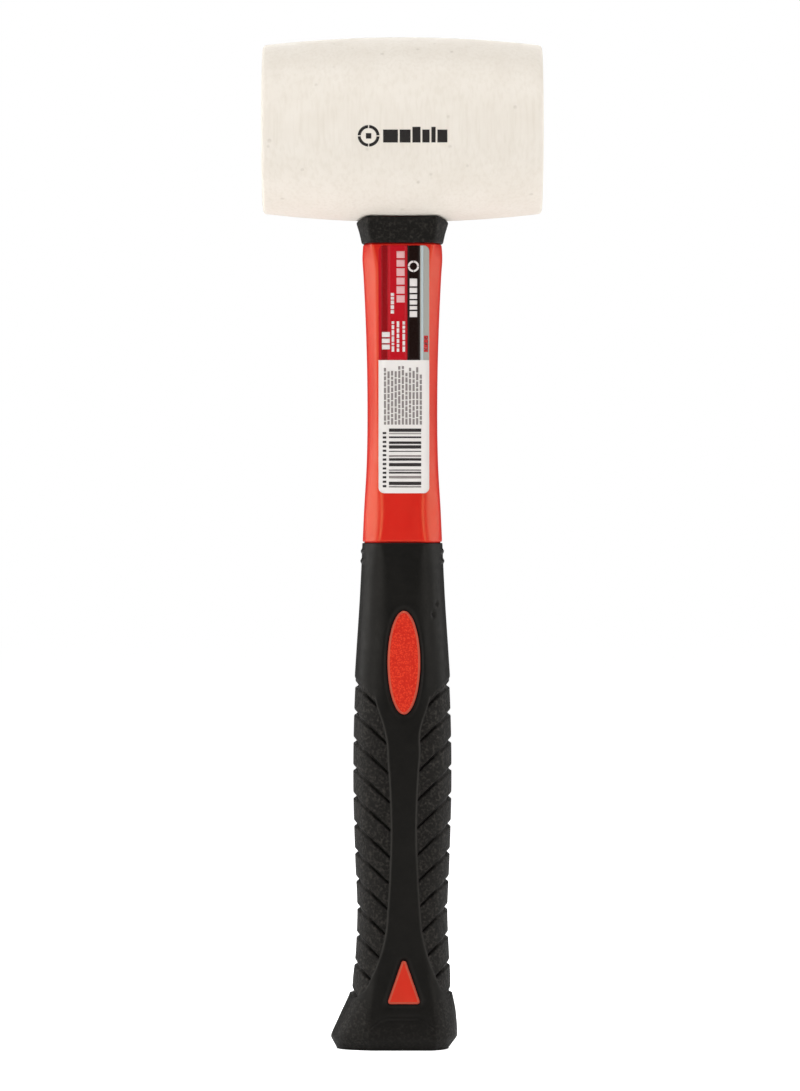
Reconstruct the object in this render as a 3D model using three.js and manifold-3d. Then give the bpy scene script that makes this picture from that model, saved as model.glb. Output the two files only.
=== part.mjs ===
// Rubber mallet: a barrel-shaped moulded rubber head on a jacketed fibreglass handle.
//
// Millimetres. +Z runs up the handle to the head, X is the head's axis and the
// direction of the blow, and -Y is the side that carries the label. The origin is
// on the handle's axis, on the flat underside of the butt.

import * as THREE from 'three';
import { ParametricGeometry } from 'three/addons/geometries/ParametricGeometry.js';
import { mergeVertices } from 'three/addons/utils/BufferGeometryUtils.js';
import Module from 'manifold-3d';

const wasm = await Module();
wasm.setup();

// ---------------------------------------------------------------------------
// Driving dimensions
// ---------------------------------------------------------------------------

const OVERALL_LENGTH = 340;
const FIT_GAP = 0.3; // clearance between two pieces that touch

// Head: a barrel lying on its side, fullest in the middle
const HEAD_LENGTH = 94.5;
const HEAD_DIAMETER = 62;
const HEAD_FACE_DIAMETER = 56.4;
const HEAD_EDGE_RADIUS = 1.4;
const HEAD_CENTRE = OVERALL_LENGTH - HEAD_DIAMETER / 2;

// Handle, measured up from the butt
const GRIP_TOP = 170;
const JACKET_BOTTOM = 8;
const JACKET_TOP = 270.2;
const TANG_TOP = 329;
const TANG_HALF_WIDTH = 11.6;
const TANG_HALF_DEPTH = 8.3;
const TANG_TAPER = 1.4; // how much narrower, each way, the tang is at its top
const CORE_WIDTH = 14;
const CORE_DEPTH = 9.6;
const SPLICE = 2; // how far two lengths of the jacket run into each other

// Bond line around the tang, inside the head
const BOND_THICKNESS = 0.8;
const BOND_SETBACK = 3; // it starts this far up inside the eye

// Collar under the head
const COLLAR_BOTTOM = JACKET_TOP + FIT_GAP;
const COLLAR_REACH = 284; // drawn past the head, then trimmed to its barrel

// Grip: two sets of slanting grooves, one up each flank
const BUTT_CHAMFER = 4.2;
const GROOVE_COUNT = 12;
const GROOVE_PITCH = 9.33;
const FIRST_GROOVE = 122.5;
const GROOVE_WIDTH = 1.8;
const GROOVE_DEPTH = 1;
const GROOVE_SLOPE = 0.9; // drop for each millimetre inward from the flank
const GROOVE_SEARCH_STEP = 0.2;
const GROOVE_OVERRUN = 4; // each groove's cutter runs this far out past the flank
const FLANK_RIBS = [163.9, 167.2];
const FLANK_RIB_RADIUS = 0.9;
const FLANK_RIB_LENGTH = 8;
const FLANK_RIB_SINK = 0.35; // how far a rib's axis lies inside the flank

// Coloured inlays let into both faces of the grip
const FACE_OFFSET = 0.5; // the inlays and the sticker sit this far to the right of the axis
const OVAL_WIDTH = 11;
const OVAL_HEIGHT = 34.7;
const OVAL_CENTRE = 129.9;
const TRIANGLE_BASE = 11.4;
const TRIANGLE_BOTTOM = 15.7;
const TRIANGLE_TIP = 32;
const TRIANGLE_CORNER_RADIUS = 0.9;
const INLAY_SINK = 0.2; // the inlay's face lies this far under the grip's
const POCKET_DEPTH = 2.6;
const RECESS_DEPTH = 0.7; // sloping edge around each inlay
const RECESS_MARGIN = 1.1;
const CUTTER_OVERRUN = 1; // a pocket's cutter stands this far out of the face

// Sticker on the front of the jacket
const LABEL_WIDTH = 17;
const LABEL_BOTTOM = 186.6;
const LABEL_TOP = 269.6;
const LABEL_THICKNESS = 0.3;
const LABEL_CORNER_RADIUS = 1.9;

// Fineness of the meshes
const FLANK_STEPS = 6;
const RING_STEPS = 60;
const BARREL_STEPS = 4;
const OVAL_STEPS = 32;
const CORNER_STEPS = 4;
const RIB_STEPS = 12;
const LEVEL_STEP = 9;

// ---------------------------------------------------------------------------
// Profiles: [height, value] along the handle, joined by a smooth curve
// ---------------------------------------------------------------------------

function profile(points) {
  const heights = points.map(([height]) => height);
  const values = points.map(([, value]) => value);
  const curve = new THREE.CubicInterpolant(heights, values, 1);
  return (height) => curve.evaluate(height)[0];
}

// A handle section is symmetrical front to back. "flat" is half the width of its
// flat face, "depth" half its thickness, "left" and "right" its reach each way, and
// "fullness" says how far round the flank stays full before it turns to the face.

const jacketWidth = profile([
  [170, 13.4], [180, 12.9], [196, 11.9], [222, 11.65], [244, 12.2], [260, 13.05], [266, 13.45], [270.2, 13.2],
]);
const jacketDepth = profile([[170, 10.1], [196, 8.9], [222, 8.75], [244, 9], [266, 9.5], [270.2, 9.5]]);
const jacketFlat = profile([[170, 9.2], [178, 7.6], [190, 8], [215, 8.6], [250, 8.8], [264, 9.1], [270.2, 10.6]]);

function jacketSection(height) {
  const width = jacketWidth(height);
  return { left: width, right: width, depth: jacketDepth(height), flat: jacketFlat(height), fullness: 0.6 };
}

function underGripSection() {
  return { left: 10.8, right: 10.8, depth: 7.4, flat: 6, fullness: 0.85 };
}

const tangTaper = profile([[JACKET_TOP, 0], [TANG_TOP, TANG_TAPER]]);

function tangSection(height) {
  const width = TANG_HALF_WIDTH - tangTaper(height);
  const depth = TANG_HALF_DEPTH - tangTaper(height);
  return { left: width, right: width, depth, flat: 6.5, fullness: 0.85 };
}

const collarWidth = profile([[COLLAR_BOTTOM, 13.65], [274, 14.4], [277.6, 15.45], [COLLAR_REACH, 15.8]]);
const collarDepth = profile([[COLLAR_BOTTOM, 10], [277.6, 10.5], [COLLAR_REACH, 10.9]]);

function collarSection(height) {
  const width = collarWidth(height);
  return { left: width, right: width, depth: collarDepth(height), flat: 10.6, fullness: 0.7 };
}

const gripWidth = profile([
  [0, 15.5], [BUTT_CHAMFER, 18.6], [9, 18.3], [13, 17.8], [18, 16.9], [25, 16.3], [34, 15.55], [46, 15.15], [63, 15.8],
  [92, 16.5], [118, 16.05], [133, 15.65], [150, 14.55], [GRIP_TOP, 13.45],
]);
const gripDepth = profile([
  [0, 10.8], [BUTT_CHAMFER, 13.6], [13, 13.1], [22, 12.4], [45, 12.1], [90, 12.8], [128, 12], [150, 11],
  [GRIP_TOP, 10.3],
]);
const gripFlat = profile([
  [0, 12.2], [8, 11.6], [20, 9.6], [34, 7.2], [46, 6.2], [66, 4.9], [97, 5.2], [120, 6.8], [140, 8], [GRIP_TOP, 8.8],
]);
const gripFullness = profile([[0, 0.7], [20, 0.75], [66, 0.86], [116, 0.85], [140, 0.72], [GRIP_TOP, 0.62]]);
const heelFlare = profile([
  [0, 5.7], [BUTT_CHAMFER, 5.4], [8.4, 4], [12.5, 2.5], [17.5, 1.3], [21, 0.9], [25, 0.5], [30, 0],
]);

function gripSection(height) {
  const width = gripWidth(height);
  return {
    left: width + heelFlare(height),
    right: width,
    depth: gripDepth(height),
    flat: gripFlat(height),
    fullness: gripFullness(height),
  };
}

// Half the width of the smooth strip between the two grooved flanks
const smoothStrip = profile([
  [17.5, 17], [20, 12.8], [24, 10.6], [32, 7.1], [44, 5.8], [60, 4.7], [75, 4.3], [90, 4.7], [105, 5.6], [116, 8.6],
  [125, 16],
]);

function grown(sectionAt, amount) {
  return (height) => {
    const section = sectionAt(height);
    return {
      ...section,
      left: section.left + amount,
      right: section.right + amount,
      depth: section.depth + amount,
    };
  };
}

// ---------------------------------------------------------------------------
// From outlines to solids
// ---------------------------------------------------------------------------

function solid(geometry) {
  geometry.deleteAttribute('normal');
  geometry.deleteAttribute('uv');
  const welded = mergeVertices(geometry);
  const corners = welded.index.array;
  const triangles = [];
  for (let first = 0; first < corners.length; first += 3) {
    const [a, b, c] = corners.slice(first, first + 3);
    const isReal = a !== b && b !== c && c !== a;
    if (isReal) triangles.push(a, b, c);
  }
  return new wasm.Manifold(new wasm.Mesh({
    numProp: 3,
    vertProperties: welded.attributes.position.array,
    triVerts: Uint32Array.from(triangles),
  }));
}

// Stretches a skin over a stack of loops with the same number of points, and closes
// both ends with a flat fan.
function skin(loops) {
  const around = loops[0].length;
  const middle = (loop) => loop.reduce((sum, point) => sum.add(point), new THREE.Vector3()).divideScalar(around);
  const rows = [[middle(loops[0])], ...loops, [middle(loops.at(-1))]];
  const place = (u, v, target) => {
    const row = rows[Math.round(v * (rows.length - 1))];
    target.copy(row[Math.round(u * around) % row.length]);
  };
  return solid(new ParametricGeometry(place, around, rows.length - 1));
}

function quarterOutline(section, reach) {
  const flank = new THREE.QuadraticBezierCurve(
    new THREE.Vector2(reach, 0),
    new THREE.Vector2(reach, section.depth * section.fullness),
    new THREE.Vector2(section.flat, section.depth),
  );
  return [...flank.getPoints(FLANK_STEPS), new THREE.Vector2(0, section.depth)];
}

function sectionLoop(section, height) {
  const right = quarterOutline(section, section.right);
  const left = quarterOutline(section, section.left);
  return [
    ...right.slice(0, -1).map((point) => new THREE.Vector3(point.x, point.y, height)),
    ...left.slice(1).reverse().map((point) => new THREE.Vector3(-point.x, point.y, height)),
    ...left.slice(0, -1).map((point) => new THREE.Vector3(-point.x, -point.y, height)),
    ...right.slice(1).reverse().map((point) => new THREE.Vector3(point.x, -point.y, height)),
  ];
}

function loft(sectionAt, heights) {
  return skin(heights.map((height) => sectionLoop(sectionAt(height), height)));
}

function evenHeights(bottom, top) {
  const count = Math.ceil((top - bottom) / LEVEL_STEP);
  return Array.from({ length: count + 1 }, (_, index) => bottom + (top - bottom) * index / count);
}

// Lays a flat outline (x, height) into the front of the handle at depth y.
function frontLoop(outline, y) {
  return outline.map((point) => new THREE.Vector3(point.x, y, point.y));
}

function ovalOutline(margin) {
  const oval = new THREE.EllipseCurve(FACE_OFFSET, OVAL_CENTRE, OVAL_WIDTH / 2 + margin, OVAL_HEIGHT / 2 + margin);
  return oval.getPoints(OVAL_STEPS).slice(0, -1);
}

// A polygon with rounded corners, listed anticlockwise. The margin moves the whole
// outline outward and keeps the centres of its corner arcs.
function roundedOutline(corners, radius, margin) {
  return corners.flatMap((corner, index) => {
    const next = corners[(index + 1) % corners.length];
    const inward = corner.clone().sub(corners.at(index - 1)).normalize();
    const outward = next.clone().sub(corner).normalize();
    const turn = Math.acos(inward.dot(outward));
    const setback = radius * Math.tan(turn / 2);
    const centreX = corner.x - inward.x * setback - inward.y * radius;
    const centreY = corner.y - inward.y * setback + inward.x * radius;
    const start = Math.atan2(-inward.x, inward.y);
    const reach = radius + margin;
    const arc = new THREE.EllipseCurve(centreX, centreY, reach, reach, start, start + turn);
    return arc.getPoints(CORNER_STEPS);
  });
}

function triangleOutline(margin) {
  const corners = [
    new THREE.Vector2(FACE_OFFSET - TRIANGLE_BASE / 2, TRIANGLE_BOTTOM),
    new THREE.Vector2(FACE_OFFSET + TRIANGLE_BASE / 2, TRIANGLE_BOTTOM),
    new THREE.Vector2(FACE_OFFSET, TRIANGLE_TIP),
  ];
  return roundedOutline(corners, TRIANGLE_CORNER_RADIUS, margin);
}

function labelOutline() {
  const left = FACE_OFFSET - LABEL_WIDTH / 2;
  const right = FACE_OFFSET + LABEL_WIDTH / 2;
  const corners = [
    new THREE.Vector2(left, LABEL_BOTTOM),
    new THREE.Vector2(right, LABEL_BOTTOM),
    new THREE.Vector2(right, LABEL_TOP),
    new THREE.Vector2(left, LABEL_TOP),
  ];
  return roundedOutline(corners, LABEL_CORNER_RADIUS, 0);
}

// ---------------------------------------------------------------------------
// Head, bond line and collar
// ---------------------------------------------------------------------------

function barrel(growth) {
  const halfLength = HEAD_LENGTH / 2;
  const crown = (HEAD_DIAMETER - HEAD_FACE_DIAMETER) / 2;
  const bulgeRadius = (halfLength ** 2 + crown ** 2) / (2 * crown);
  const bulgeCentre = HEAD_DIAMETER / 2 - bulgeRadius;
  const edge = halfLength - HEAD_EDGE_RADIUS;
  const edgeAngle = Math.asin(edge / bulgeRadius);
  const edgeReach = bulgeCentre + bulgeRadius * Math.cos(edgeAngle);
  const faceReach = HEAD_FACE_DIAMETER / 2;
  const outline = new THREE.Path();
  outline.moveTo(0, -halfLength);
  outline.lineTo(faceReach - HEAD_EDGE_RADIUS, -halfLength);
  outline.quadraticCurveTo(faceReach, -halfLength, edgeReach, -edge);
  outline.absarc(bulgeCentre, 0, bulgeRadius, -edgeAngle, edgeAngle);
  outline.quadraticCurveTo(faceReach, halfLength, faceReach - HEAD_EDGE_RADIUS, halfLength);
  outline.lineTo(0, halfLength);
  const points = outline.getPoints(BARREL_STEPS);
  points.forEach((point) => {
    point.x += point.x > 0 ? growth : 0;
  });
  const geometry = new THREE.LatheGeometry(points, RING_STEPS);
  geometry.rotateZ(-Math.PI / 2);
  geometry.translate(0, 0, HEAD_CENTRE);
  return solid(geometry);
}

function tang(growth) {
  return loft(grown(tangSection, growth), [JACKET_TOP - SPLICE, TANG_TOP + growth]);
}

function makeHead() {
  const socket = tang(2 * FIT_GAP + BOND_THICKNESS);
  return barrel(0).subtract(socket);
}

function makeEyeAdhesive() {
  const bottom = HEAD_CENTRE - HEAD_DIAMETER / 2 + BOND_SETBACK;
  const outside = FIT_GAP + BOND_THICKNESS;
  const sleeve = loft(grown(tangSection, outside), [bottom, TANG_TOP + outside]);
  return sleeve.subtract(tang(FIT_GAP));
}

function makeCollar() {
  const heights = [COLLAR_BOTTOM, 272, 274, 276, 277.6, 280, COLLAR_REACH];
  return loft(collarSection, heights).subtract(barrel(FIT_GAP)).subtract(tang(FIT_GAP));
}

// ---------------------------------------------------------------------------
// Handle core and jacket
// ---------------------------------------------------------------------------

function coreBar(growth) {
  const length = TANG_TOP - JACKET_BOTTOM + 2 * growth;
  const geometry = new THREE.CylinderGeometry(1, 1, length, OVAL_STEPS);
  geometry.rotateX(Math.PI / 2);
  geometry.scale(CORE_WIDTH / 2 + growth, CORE_DEPTH / 2 + growth, 1);
  geometry.translate(0, 0, (TANG_TOP + JACKET_BOTTOM) / 2);
  return solid(geometry);
}

function makeHandleCore() {
  return coreBar(0);
}

function underGrip(growth) {
  return loft(grown(underGripSection, growth), [JACKET_BOTTOM - growth, GRIP_TOP + SPLICE]);
}

function jacketBody(growth) {
  return loft(grown(jacketSection, growth), evenHeights(GRIP_TOP + FIT_GAP, JACKET_TOP));
}

function makeHandleJacket() {
  return jacketBody(0).add(underGrip(0)).add(tang(0)).subtract(coreBar(FIT_GAP));
}

// ---------------------------------------------------------------------------
// Grip
// ---------------------------------------------------------------------------

const gripHeights = [0, BUTT_CHAMFER, 7, 10, 13, 17, 21, ...evenHeights(25, GRIP_TOP)];

function gripBody(growth) {
  return loft(grown(gripSection, growth), gripHeights);
}

// One groove is a slanting slab that crosses the flank at its notch and runs inward
// and down, on both faces at once, as far as the smooth strip.
function grooveSlab(side, notch) {
  const flank = gripSection(notch).right;
  let inner = flank;
  while (inner > smoothStrip(notch - GROOVE_SLOPE * (flank - inner))) inner -= GROOVE_SEARCH_STEP;
  const outer = flank + GROOVE_OVERRUN;
  const slant = Math.atan(GROOVE_SLOPE);
  const length = (outer - inner) / Math.cos(slant);
  const geometry = new THREE.BoxGeometry(length, HEAD_DIAMETER, GROOVE_WIDTH);
  geometry.rotateY(-side * slant);
  const middle = (outer + inner) / 2;
  geometry.translate(side * middle, 0, notch - GROOVE_SLOPE * (flank - middle));
  return solid(geometry);
}

function grooves() {
  const slabs = [];
  for (let index = 0; index < GROOVE_COUNT; index += 1) {
    const notch = FIRST_GROOVE - GROOVE_PITCH * index;
    slabs.push(grooveSlab(1, notch), grooveSlab(-1, notch));
  }
  const allSlabs = slabs.reduce((joined, slab) => joined.add(slab));
  return allSlabs.subtract(gripBody(-GROOVE_DEPTH));
}

function flankRib(side, height) {
  const geometry = new THREE.CylinderGeometry(FLANK_RIB_RADIUS, FLANK_RIB_RADIUS, FLANK_RIB_LENGTH, RIB_STEPS);
  geometry.translate(side * (gripWidth(height) - FLANK_RIB_SINK), 0, height);
  return solid(geometry);
}

// The pocket that an inlay sits in, with its sloping edge, cut into the front.
function pocket(outlineAt, centre) {
  const face = -gripDepth(centre);
  const spread = RECESS_MARGIN * (RECESS_DEPTH + CUTTER_OVERRUN) / RECESS_DEPTH;
  return skin([
    frontLoop(outlineAt(FIT_GAP), face + POCKET_DEPTH),
    frontLoop(outlineAt(FIT_GAP), face + RECESS_DEPTH),
    frontLoop(outlineAt(FIT_GAP + spread), face - CUTTER_OVERRUN),
  ]);
}

function inlay(outlineAt, centre) {
  const face = -gripDepth(centre);
  const plug = skin([
    frontLoop(outlineAt(0), face + POCKET_DEPTH - FIT_GAP),
    frontLoop(outlineAt(0), face - POCKET_DEPTH),
  ]);
  return plug.intersect(gripBody(-INLAY_SINK));
}

function onBack(frontSolid) {
  return frontSolid.rotate([0, 0, 180]);
}

const TRIANGLE_MIDDLE = (TRIANGLE_BOTTOM + TRIANGLE_TIP) / 2;
const ovalInlay = () => inlay(ovalOutline, OVAL_CENTRE);
const triangleInlay = () => inlay(triangleOutline, TRIANGLE_MIDDLE);

function makeGrip() {
  const pockets = [pocket(ovalOutline, OVAL_CENTRE), pocket(triangleOutline, TRIANGLE_MIDDLE)];
  let grip = gripBody(0).subtract(grooves());
  FLANK_RIBS.forEach((height) => {
    grip = grip.add(flankRib(1, height)).add(flankRib(-1, height));
  });
  pockets.forEach((hole) => {
    grip = grip.subtract(hole).subtract(onBack(hole));
  });
  return grip.subtract(underGrip(FIT_GAP));
}

// ---------------------------------------------------------------------------
// Label
// ---------------------------------------------------------------------------

function makeLabel() {
  const blank = skin([
    frontLoop(labelOutline(), 0),
    frontLoop(labelOutline(), -HEAD_DIAMETER),
  ]);
  const outer = jacketBody(FIT_GAP + LABEL_THICKNESS);
  return blank.intersect(outer).subtract(jacketBody(FIT_GAP));
}

// ---------------------------------------------------------------------------
// Assembly
// ---------------------------------------------------------------------------

const materials = {
  whiteRubber: new THREE.MeshStandardMaterial({ color: 0xece4d9, roughness: 0.7, metalness: 0 }),
  blackRubber: new THREE.MeshStandardMaterial({ color: 0x1d1c1b, roughness: 0.6, metalness: 0 }),
  redPlastic: new THREE.MeshStandardMaterial({ color: 0xd72721, roughness: 0.35, metalness: 0 }),
  inlayPlastic: new THREE.MeshStandardMaterial({ color: 0xe03428, roughness: 0.45, metalness: 0 }),
  fibreglass: new THREE.MeshStandardMaterial({ color: 0xd8c88c, roughness: 0.5, metalness: 0 }),
  epoxy: new THREE.MeshStandardMaterial({ color: 0xb78a40, roughness: 0.3, metalness: 0 }),
  labelPaper: new THREE.MeshStandardMaterial({ color: 0xf1ece6, roughness: 0.5, metalness: 0 }),
};

function piece(name, shape, material) {
  const { vertProperties, triVerts } = shape.getMesh();
  const geometry = new THREE.BufferGeometry();
  geometry.setAttribute('position', new THREE.BufferAttribute(vertProperties, 3));
  geometry.setIndex(new THREE.BufferAttribute(triVerts, 1));
  geometry.computeVertexNormals();
  const mesh = new THREE.Mesh(geometry, material);
  mesh.name = name;
  return mesh;
}

const head = new THREE.Group();
head.add(
  piece('head', makeHead(), materials.whiteRubber),
  piece('eye_adhesive', makeEyeAdhesive(), materials.epoxy),
  piece('head_collar', makeCollar(), materials.blackRubber),
);

const handle = new THREE.Group();
handle.add(
  piece('handle_core', makeHandleCore(), materials.fibreglass),
  piece('handle_jacket', makeHandleJacket(), materials.redPlastic),
  piece('grip', makeGrip(), materials.blackRubber),
  piece('grip_oval_inlay_front', ovalInlay(), materials.inlayPlastic),
  piece('grip_oval_inlay_back', onBack(ovalInlay()), materials.inlayPlastic),
  piece('grip_butt_inlay_front', triangleInlay(), materials.inlayPlastic),
  piece('grip_butt_inlay_back', onBack(triangleInlay()), materials.inlayPlastic),
  piece('product_label', makeLabel(), materials.labelPaper),
);

const mallet = new THREE.Group();
mallet.add(head, handle);

export default mallet;
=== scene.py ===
# %% [markdown]
# # A white rubber mallet
#
# A rubber mallet seats paving slabs and tiles without marking them. This one has a
# barrel-shaped white rubber head, a red plastic jacket moulded over a fibreglass rod,
# and a soft black grip. The solid model fixes the frame and the outer sizes. This
# lesson remakes each visible piece as a fine mesh in the same place, and gives it its
# finish.

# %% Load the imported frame
import math

import bmesh
import bpy
import numpy as np
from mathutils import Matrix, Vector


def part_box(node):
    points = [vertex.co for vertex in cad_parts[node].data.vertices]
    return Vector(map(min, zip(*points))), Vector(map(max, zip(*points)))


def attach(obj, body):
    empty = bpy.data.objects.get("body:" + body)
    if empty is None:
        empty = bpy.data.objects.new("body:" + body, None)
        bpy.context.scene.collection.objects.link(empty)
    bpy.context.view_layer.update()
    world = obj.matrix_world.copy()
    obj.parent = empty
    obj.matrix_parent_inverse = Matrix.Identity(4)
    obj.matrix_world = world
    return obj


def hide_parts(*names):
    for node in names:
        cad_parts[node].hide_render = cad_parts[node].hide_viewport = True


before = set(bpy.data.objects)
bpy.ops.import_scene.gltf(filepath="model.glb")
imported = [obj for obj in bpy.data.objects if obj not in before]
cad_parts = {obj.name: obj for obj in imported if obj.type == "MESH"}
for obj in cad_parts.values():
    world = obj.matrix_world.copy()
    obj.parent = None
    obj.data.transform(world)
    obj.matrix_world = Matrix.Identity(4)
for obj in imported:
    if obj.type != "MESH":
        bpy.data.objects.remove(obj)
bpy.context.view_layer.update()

MM = 0.001

# %% [markdown]
# The camera comes first, because every later choice is judged through it. A product
# shot like this one is taken from far away with a long lens, level with the middle of
# the object, so that the sides stay nearly parallel. The lens is worked out from the
# height that the picture has to take in.

# %% Camera
SENSOR = 36
CAMERA_DISTANCE = 2.0
PICTURE_HEIGHT = 0.3671
CAMERA_HEIGHT = 0.1691
CAMERA_SIDE = -0.0008

camera_data = bpy.data.cameras.new("camera")
camera_data.sensor_width = SENSOR
camera_data.lens = SENSOR * CAMERA_DISTANCE / PICTURE_HEIGHT
camera_data.clip_end = 50
camera = bpy.data.objects.new("camera", camera_data)
camera.location = (CAMERA_SIDE, -CAMERA_DISTANCE, CAMERA_HEIGHT)
camera.rotation_euler = (math.radians(90), 0, 0)
bpy.context.collection.objects.link(camera)
bpy.context.scene.camera = camera
print("lens, mm:", round(camera_data.lens, 1))

# %% [markdown]
# Finishes are built from nodes, so they need no pictures. A small helper adds a node,
# sets its sockets and wires its inputs in one call, which keeps each recipe readable,
# and the floor and the surroundings use it too. All noise is laid out in the object's
# own coordinates, in metres, so a grain of half a millimetre is a scale of two thousand.


# %% Helpers for finishes
def new_finish(name, colour, roughness, **values):
    """A material and its shader, with the shader's own values set."""
    finish = bpy.data.materials.new(name)
    finish.use_nodes = True
    shader = finish.node_tree.nodes["Principled BSDF"]
    shader.inputs["Base Color"].default_value = (*colour, 1)
    shader.inputs["Roughness"].default_value = roughness
    for key, value in values.items():
        shader.inputs[key.replace("_", " ")].default_value = value
    return finish, shader


def add_node(owner, kind, settings=None, **inputs):
    """A node of the given kind. An input is a value, or another node's output."""
    node = owner.node_tree.nodes.new(kind)
    for key, value in (settings or {}).items():
        setattr(node, key, value)
    for key, value in inputs.items():
        socket = node.inputs[int(key[1:])] if key[1:].isdigit() else node.inputs[key.replace("_", " ")]
        if isinstance(value, bpy.types.NodeSocket):
            owner.node_tree.links.new(value, socket)
        else:
            socket.default_value = value
    return node


def stretched_coordinates(finish, stretch=(1, 1, 1)):
    """Object coordinates, multiplied along each axis."""
    coordinates = add_node(finish, "ShaderNodeTexCoord")
    return add_node(
        finish, "ShaderNodeMapping", Vector=coordinates.outputs["Object"], Scale=stretch
    ).outputs["Vector"]


def noise(finish, size_mm, detail=3.0, stretch=(1, 1, 1)):
    """A cloudy pattern with features of about the given size."""
    return add_node(
        finish,
        "ShaderNodeTexNoise",
        Vector=stretched_coordinates(finish, stretch),
        Scale=1 / (size_mm * MM),
        Detail=detail,
    ).outputs["Fac"]


def cells(finish, size_mm, feature="F1", **inputs):
    """A Voronoi pattern with cells of about the given size."""
    place = stretched_coordinates(finish)
    kind = "ShaderNodeTexVoronoi"
    return add_node(finish, kind, {"feature": feature}, Vector=place, Scale=1 / (size_mm * MM), **inputs)


def remap(owner, value, low, high, new_low, new_high, interpolation="LINEAR"):
    """Value moved from one range to another, and held inside it."""
    return add_node(
        owner,
        "ShaderNodeMapRange",
        {"interpolation_type": interpolation},
        Value=value,
        From_Min=low,
        From_Max=high,
        To_Min=new_low,
        To_Max=new_high,
    ).outputs["Result"]


def blend_colours(finish, factor, first, second, blend_type="MIX"):
    """Two colours mixed by a factor."""
    return add_node(
        finish,
        "ShaderNodeMix",
        {"data_type": "RGBA", "blend_type": blend_type},
        _0=factor,
        _6=first if isinstance(first, bpy.types.NodeSocket) else (*first, 1),
        _7=second if isinstance(second, bpy.types.NodeSocket) else (*second, 1),
    ).outputs[2]


def math_node(finish, operation, first, second=0.0):
    """One arithmetic step."""
    return add_node(finish, "ShaderNodeMath", {"operation": operation}, _0=first, _1=second).outputs[0]


def product(finish, first, second):
    """Two values multiplied."""
    return math_node(finish, "MULTIPLY", first, second)


def wire(finish, output, shader, socket):
    """Connects an output to one of the shader's sockets."""
    finish.node_tree.links.new(output, shader.inputs[socket])


def add_bump(finish, shader, height, depth_mm, strength=1.0):
    """Small relief from a height pattern, on top of the mesh's own shape."""
    bump = add_node(finish, "ShaderNodeBump", Height=height, Distance=depth_mm * MM, Strength=strength)
    wire(finish, bump.outputs["Normal"], shader, "Normal")


print("finish helpers ready")

# %% [markdown]
# The studio is a pale floor under soft light. Two tall soft boxes stand left and right,
# a little behind the object, because black rubber and satin plastic only show their
# shape through the bright bands that such boxes draw along their flanks. A second pair
# in front fills the white head, one more hangs overhead, and one lights the back for
# whoever walks round. Floor and surroundings are near white to the camera, and darker
# for everything that mirrors them, so that black stays black.

# %% Floor
FLOOR_GLOW_SHOWN = 0.95
FLOOR_GLOW_CAST = 0.2
FLOOR_GREY = 0.9
FLOOR_HALF_SIDE = 8
FLOOR_CELLS = 4

floor_mesh = bpy.data.meshes.new("floor")
floor_build = bmesh.new()
bmesh.ops.create_grid(floor_build, x_segments=FLOOR_CELLS, y_segments=FLOOR_CELLS, size=FLOOR_HALF_SIDE)
floor_build.to_mesh(floor_mesh)
floor_build.free()
floor = bpy.data.objects.new("floor", floor_mesh)
bpy.context.collection.objects.link(floor)

floor_paint, floor_shader = new_finish(
    "floor_paint", (FLOOR_GREY,) * 3, 1, Specular_IOR_Level=0, Emission_Color=(1, 1, 1, 1)
)
seen_directly = add_node(floor_paint, "ShaderNodeLightPath").outputs["Is Camera Ray"]
floor_glow = remap(floor_paint, seen_directly, 0, 1, FLOOR_GLOW_CAST, FLOOR_GLOW_SHOWN)
wire(floor_paint, floor_glow, floor_shader, "Emission Strength")
floor_mesh.materials.append(floor_paint)
print("floor laid at height 0")


# %% Soft boxes
def soft_box(name, place, size, power):
    """A rectangular area light at place, turned to face the middle of the object."""
    data = bpy.data.lights.new(name, "AREA")
    data.shape = "RECTANGLE"
    data.size, data.size_y = size
    data.energy = power
    box = bpy.data.objects.new(name, data)
    box.location = place
    direction = box.location - type(box.location)(MIDDLE)
    box.rotation_euler = direction.to_track_quat("Z", "Y").to_euler()
    bpy.context.collection.objects.link(box)


MIDDLE = (0, 0, 0.17)
LEFT_POWER = 11.5
RIGHT_POWER = 8
FRONT_LEFT_POWER = 9.8
FRONT_RIGHT_POWER = 8
TOP_POWER = 12
BACK_POWER = 9
SIDE_OUT = 1.25
SIDE_BACK = 0.22
FRONT_OUT = 1.15
FRONT_BACK = -1.1
BOX_HEIGHT = 0.3
SIDE_SIZE = (0.8, 1.4)
FRONT_SIZE = (0.6, 1.2)
TOP_PLACE = (0, -0.5, 1.5)
TOP_SIZE = (1.4, 1.0)
BACK_PLACE = (0, 1.2, 1.1)
BACK_SIZE = (1.2, 0.8)
soft_box("left_box", (-SIDE_OUT, SIDE_BACK, BOX_HEIGHT), SIDE_SIZE, LEFT_POWER)
soft_box("right_box", (SIDE_OUT, SIDE_BACK, BOX_HEIGHT), SIDE_SIZE, RIGHT_POWER)
soft_box("front_left_box", (-FRONT_OUT, FRONT_BACK, BOX_HEIGHT), FRONT_SIZE, FRONT_LEFT_POWER)
soft_box("front_right_box", (FRONT_OUT, FRONT_BACK, BOX_HEIGHT), FRONT_SIZE, FRONT_RIGHT_POWER)
soft_box("top_box", TOP_PLACE, TOP_SIZE, TOP_POWER)
soft_box("back_box", BACK_PLACE, BACK_SIZE, BACK_POWER)

# %% Surroundings
SKY_FRONT = 0.05
SKY_BACK = 0.06
SKY_TURN_START = -0.5
SKY_TURN_END = 0.6

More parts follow.
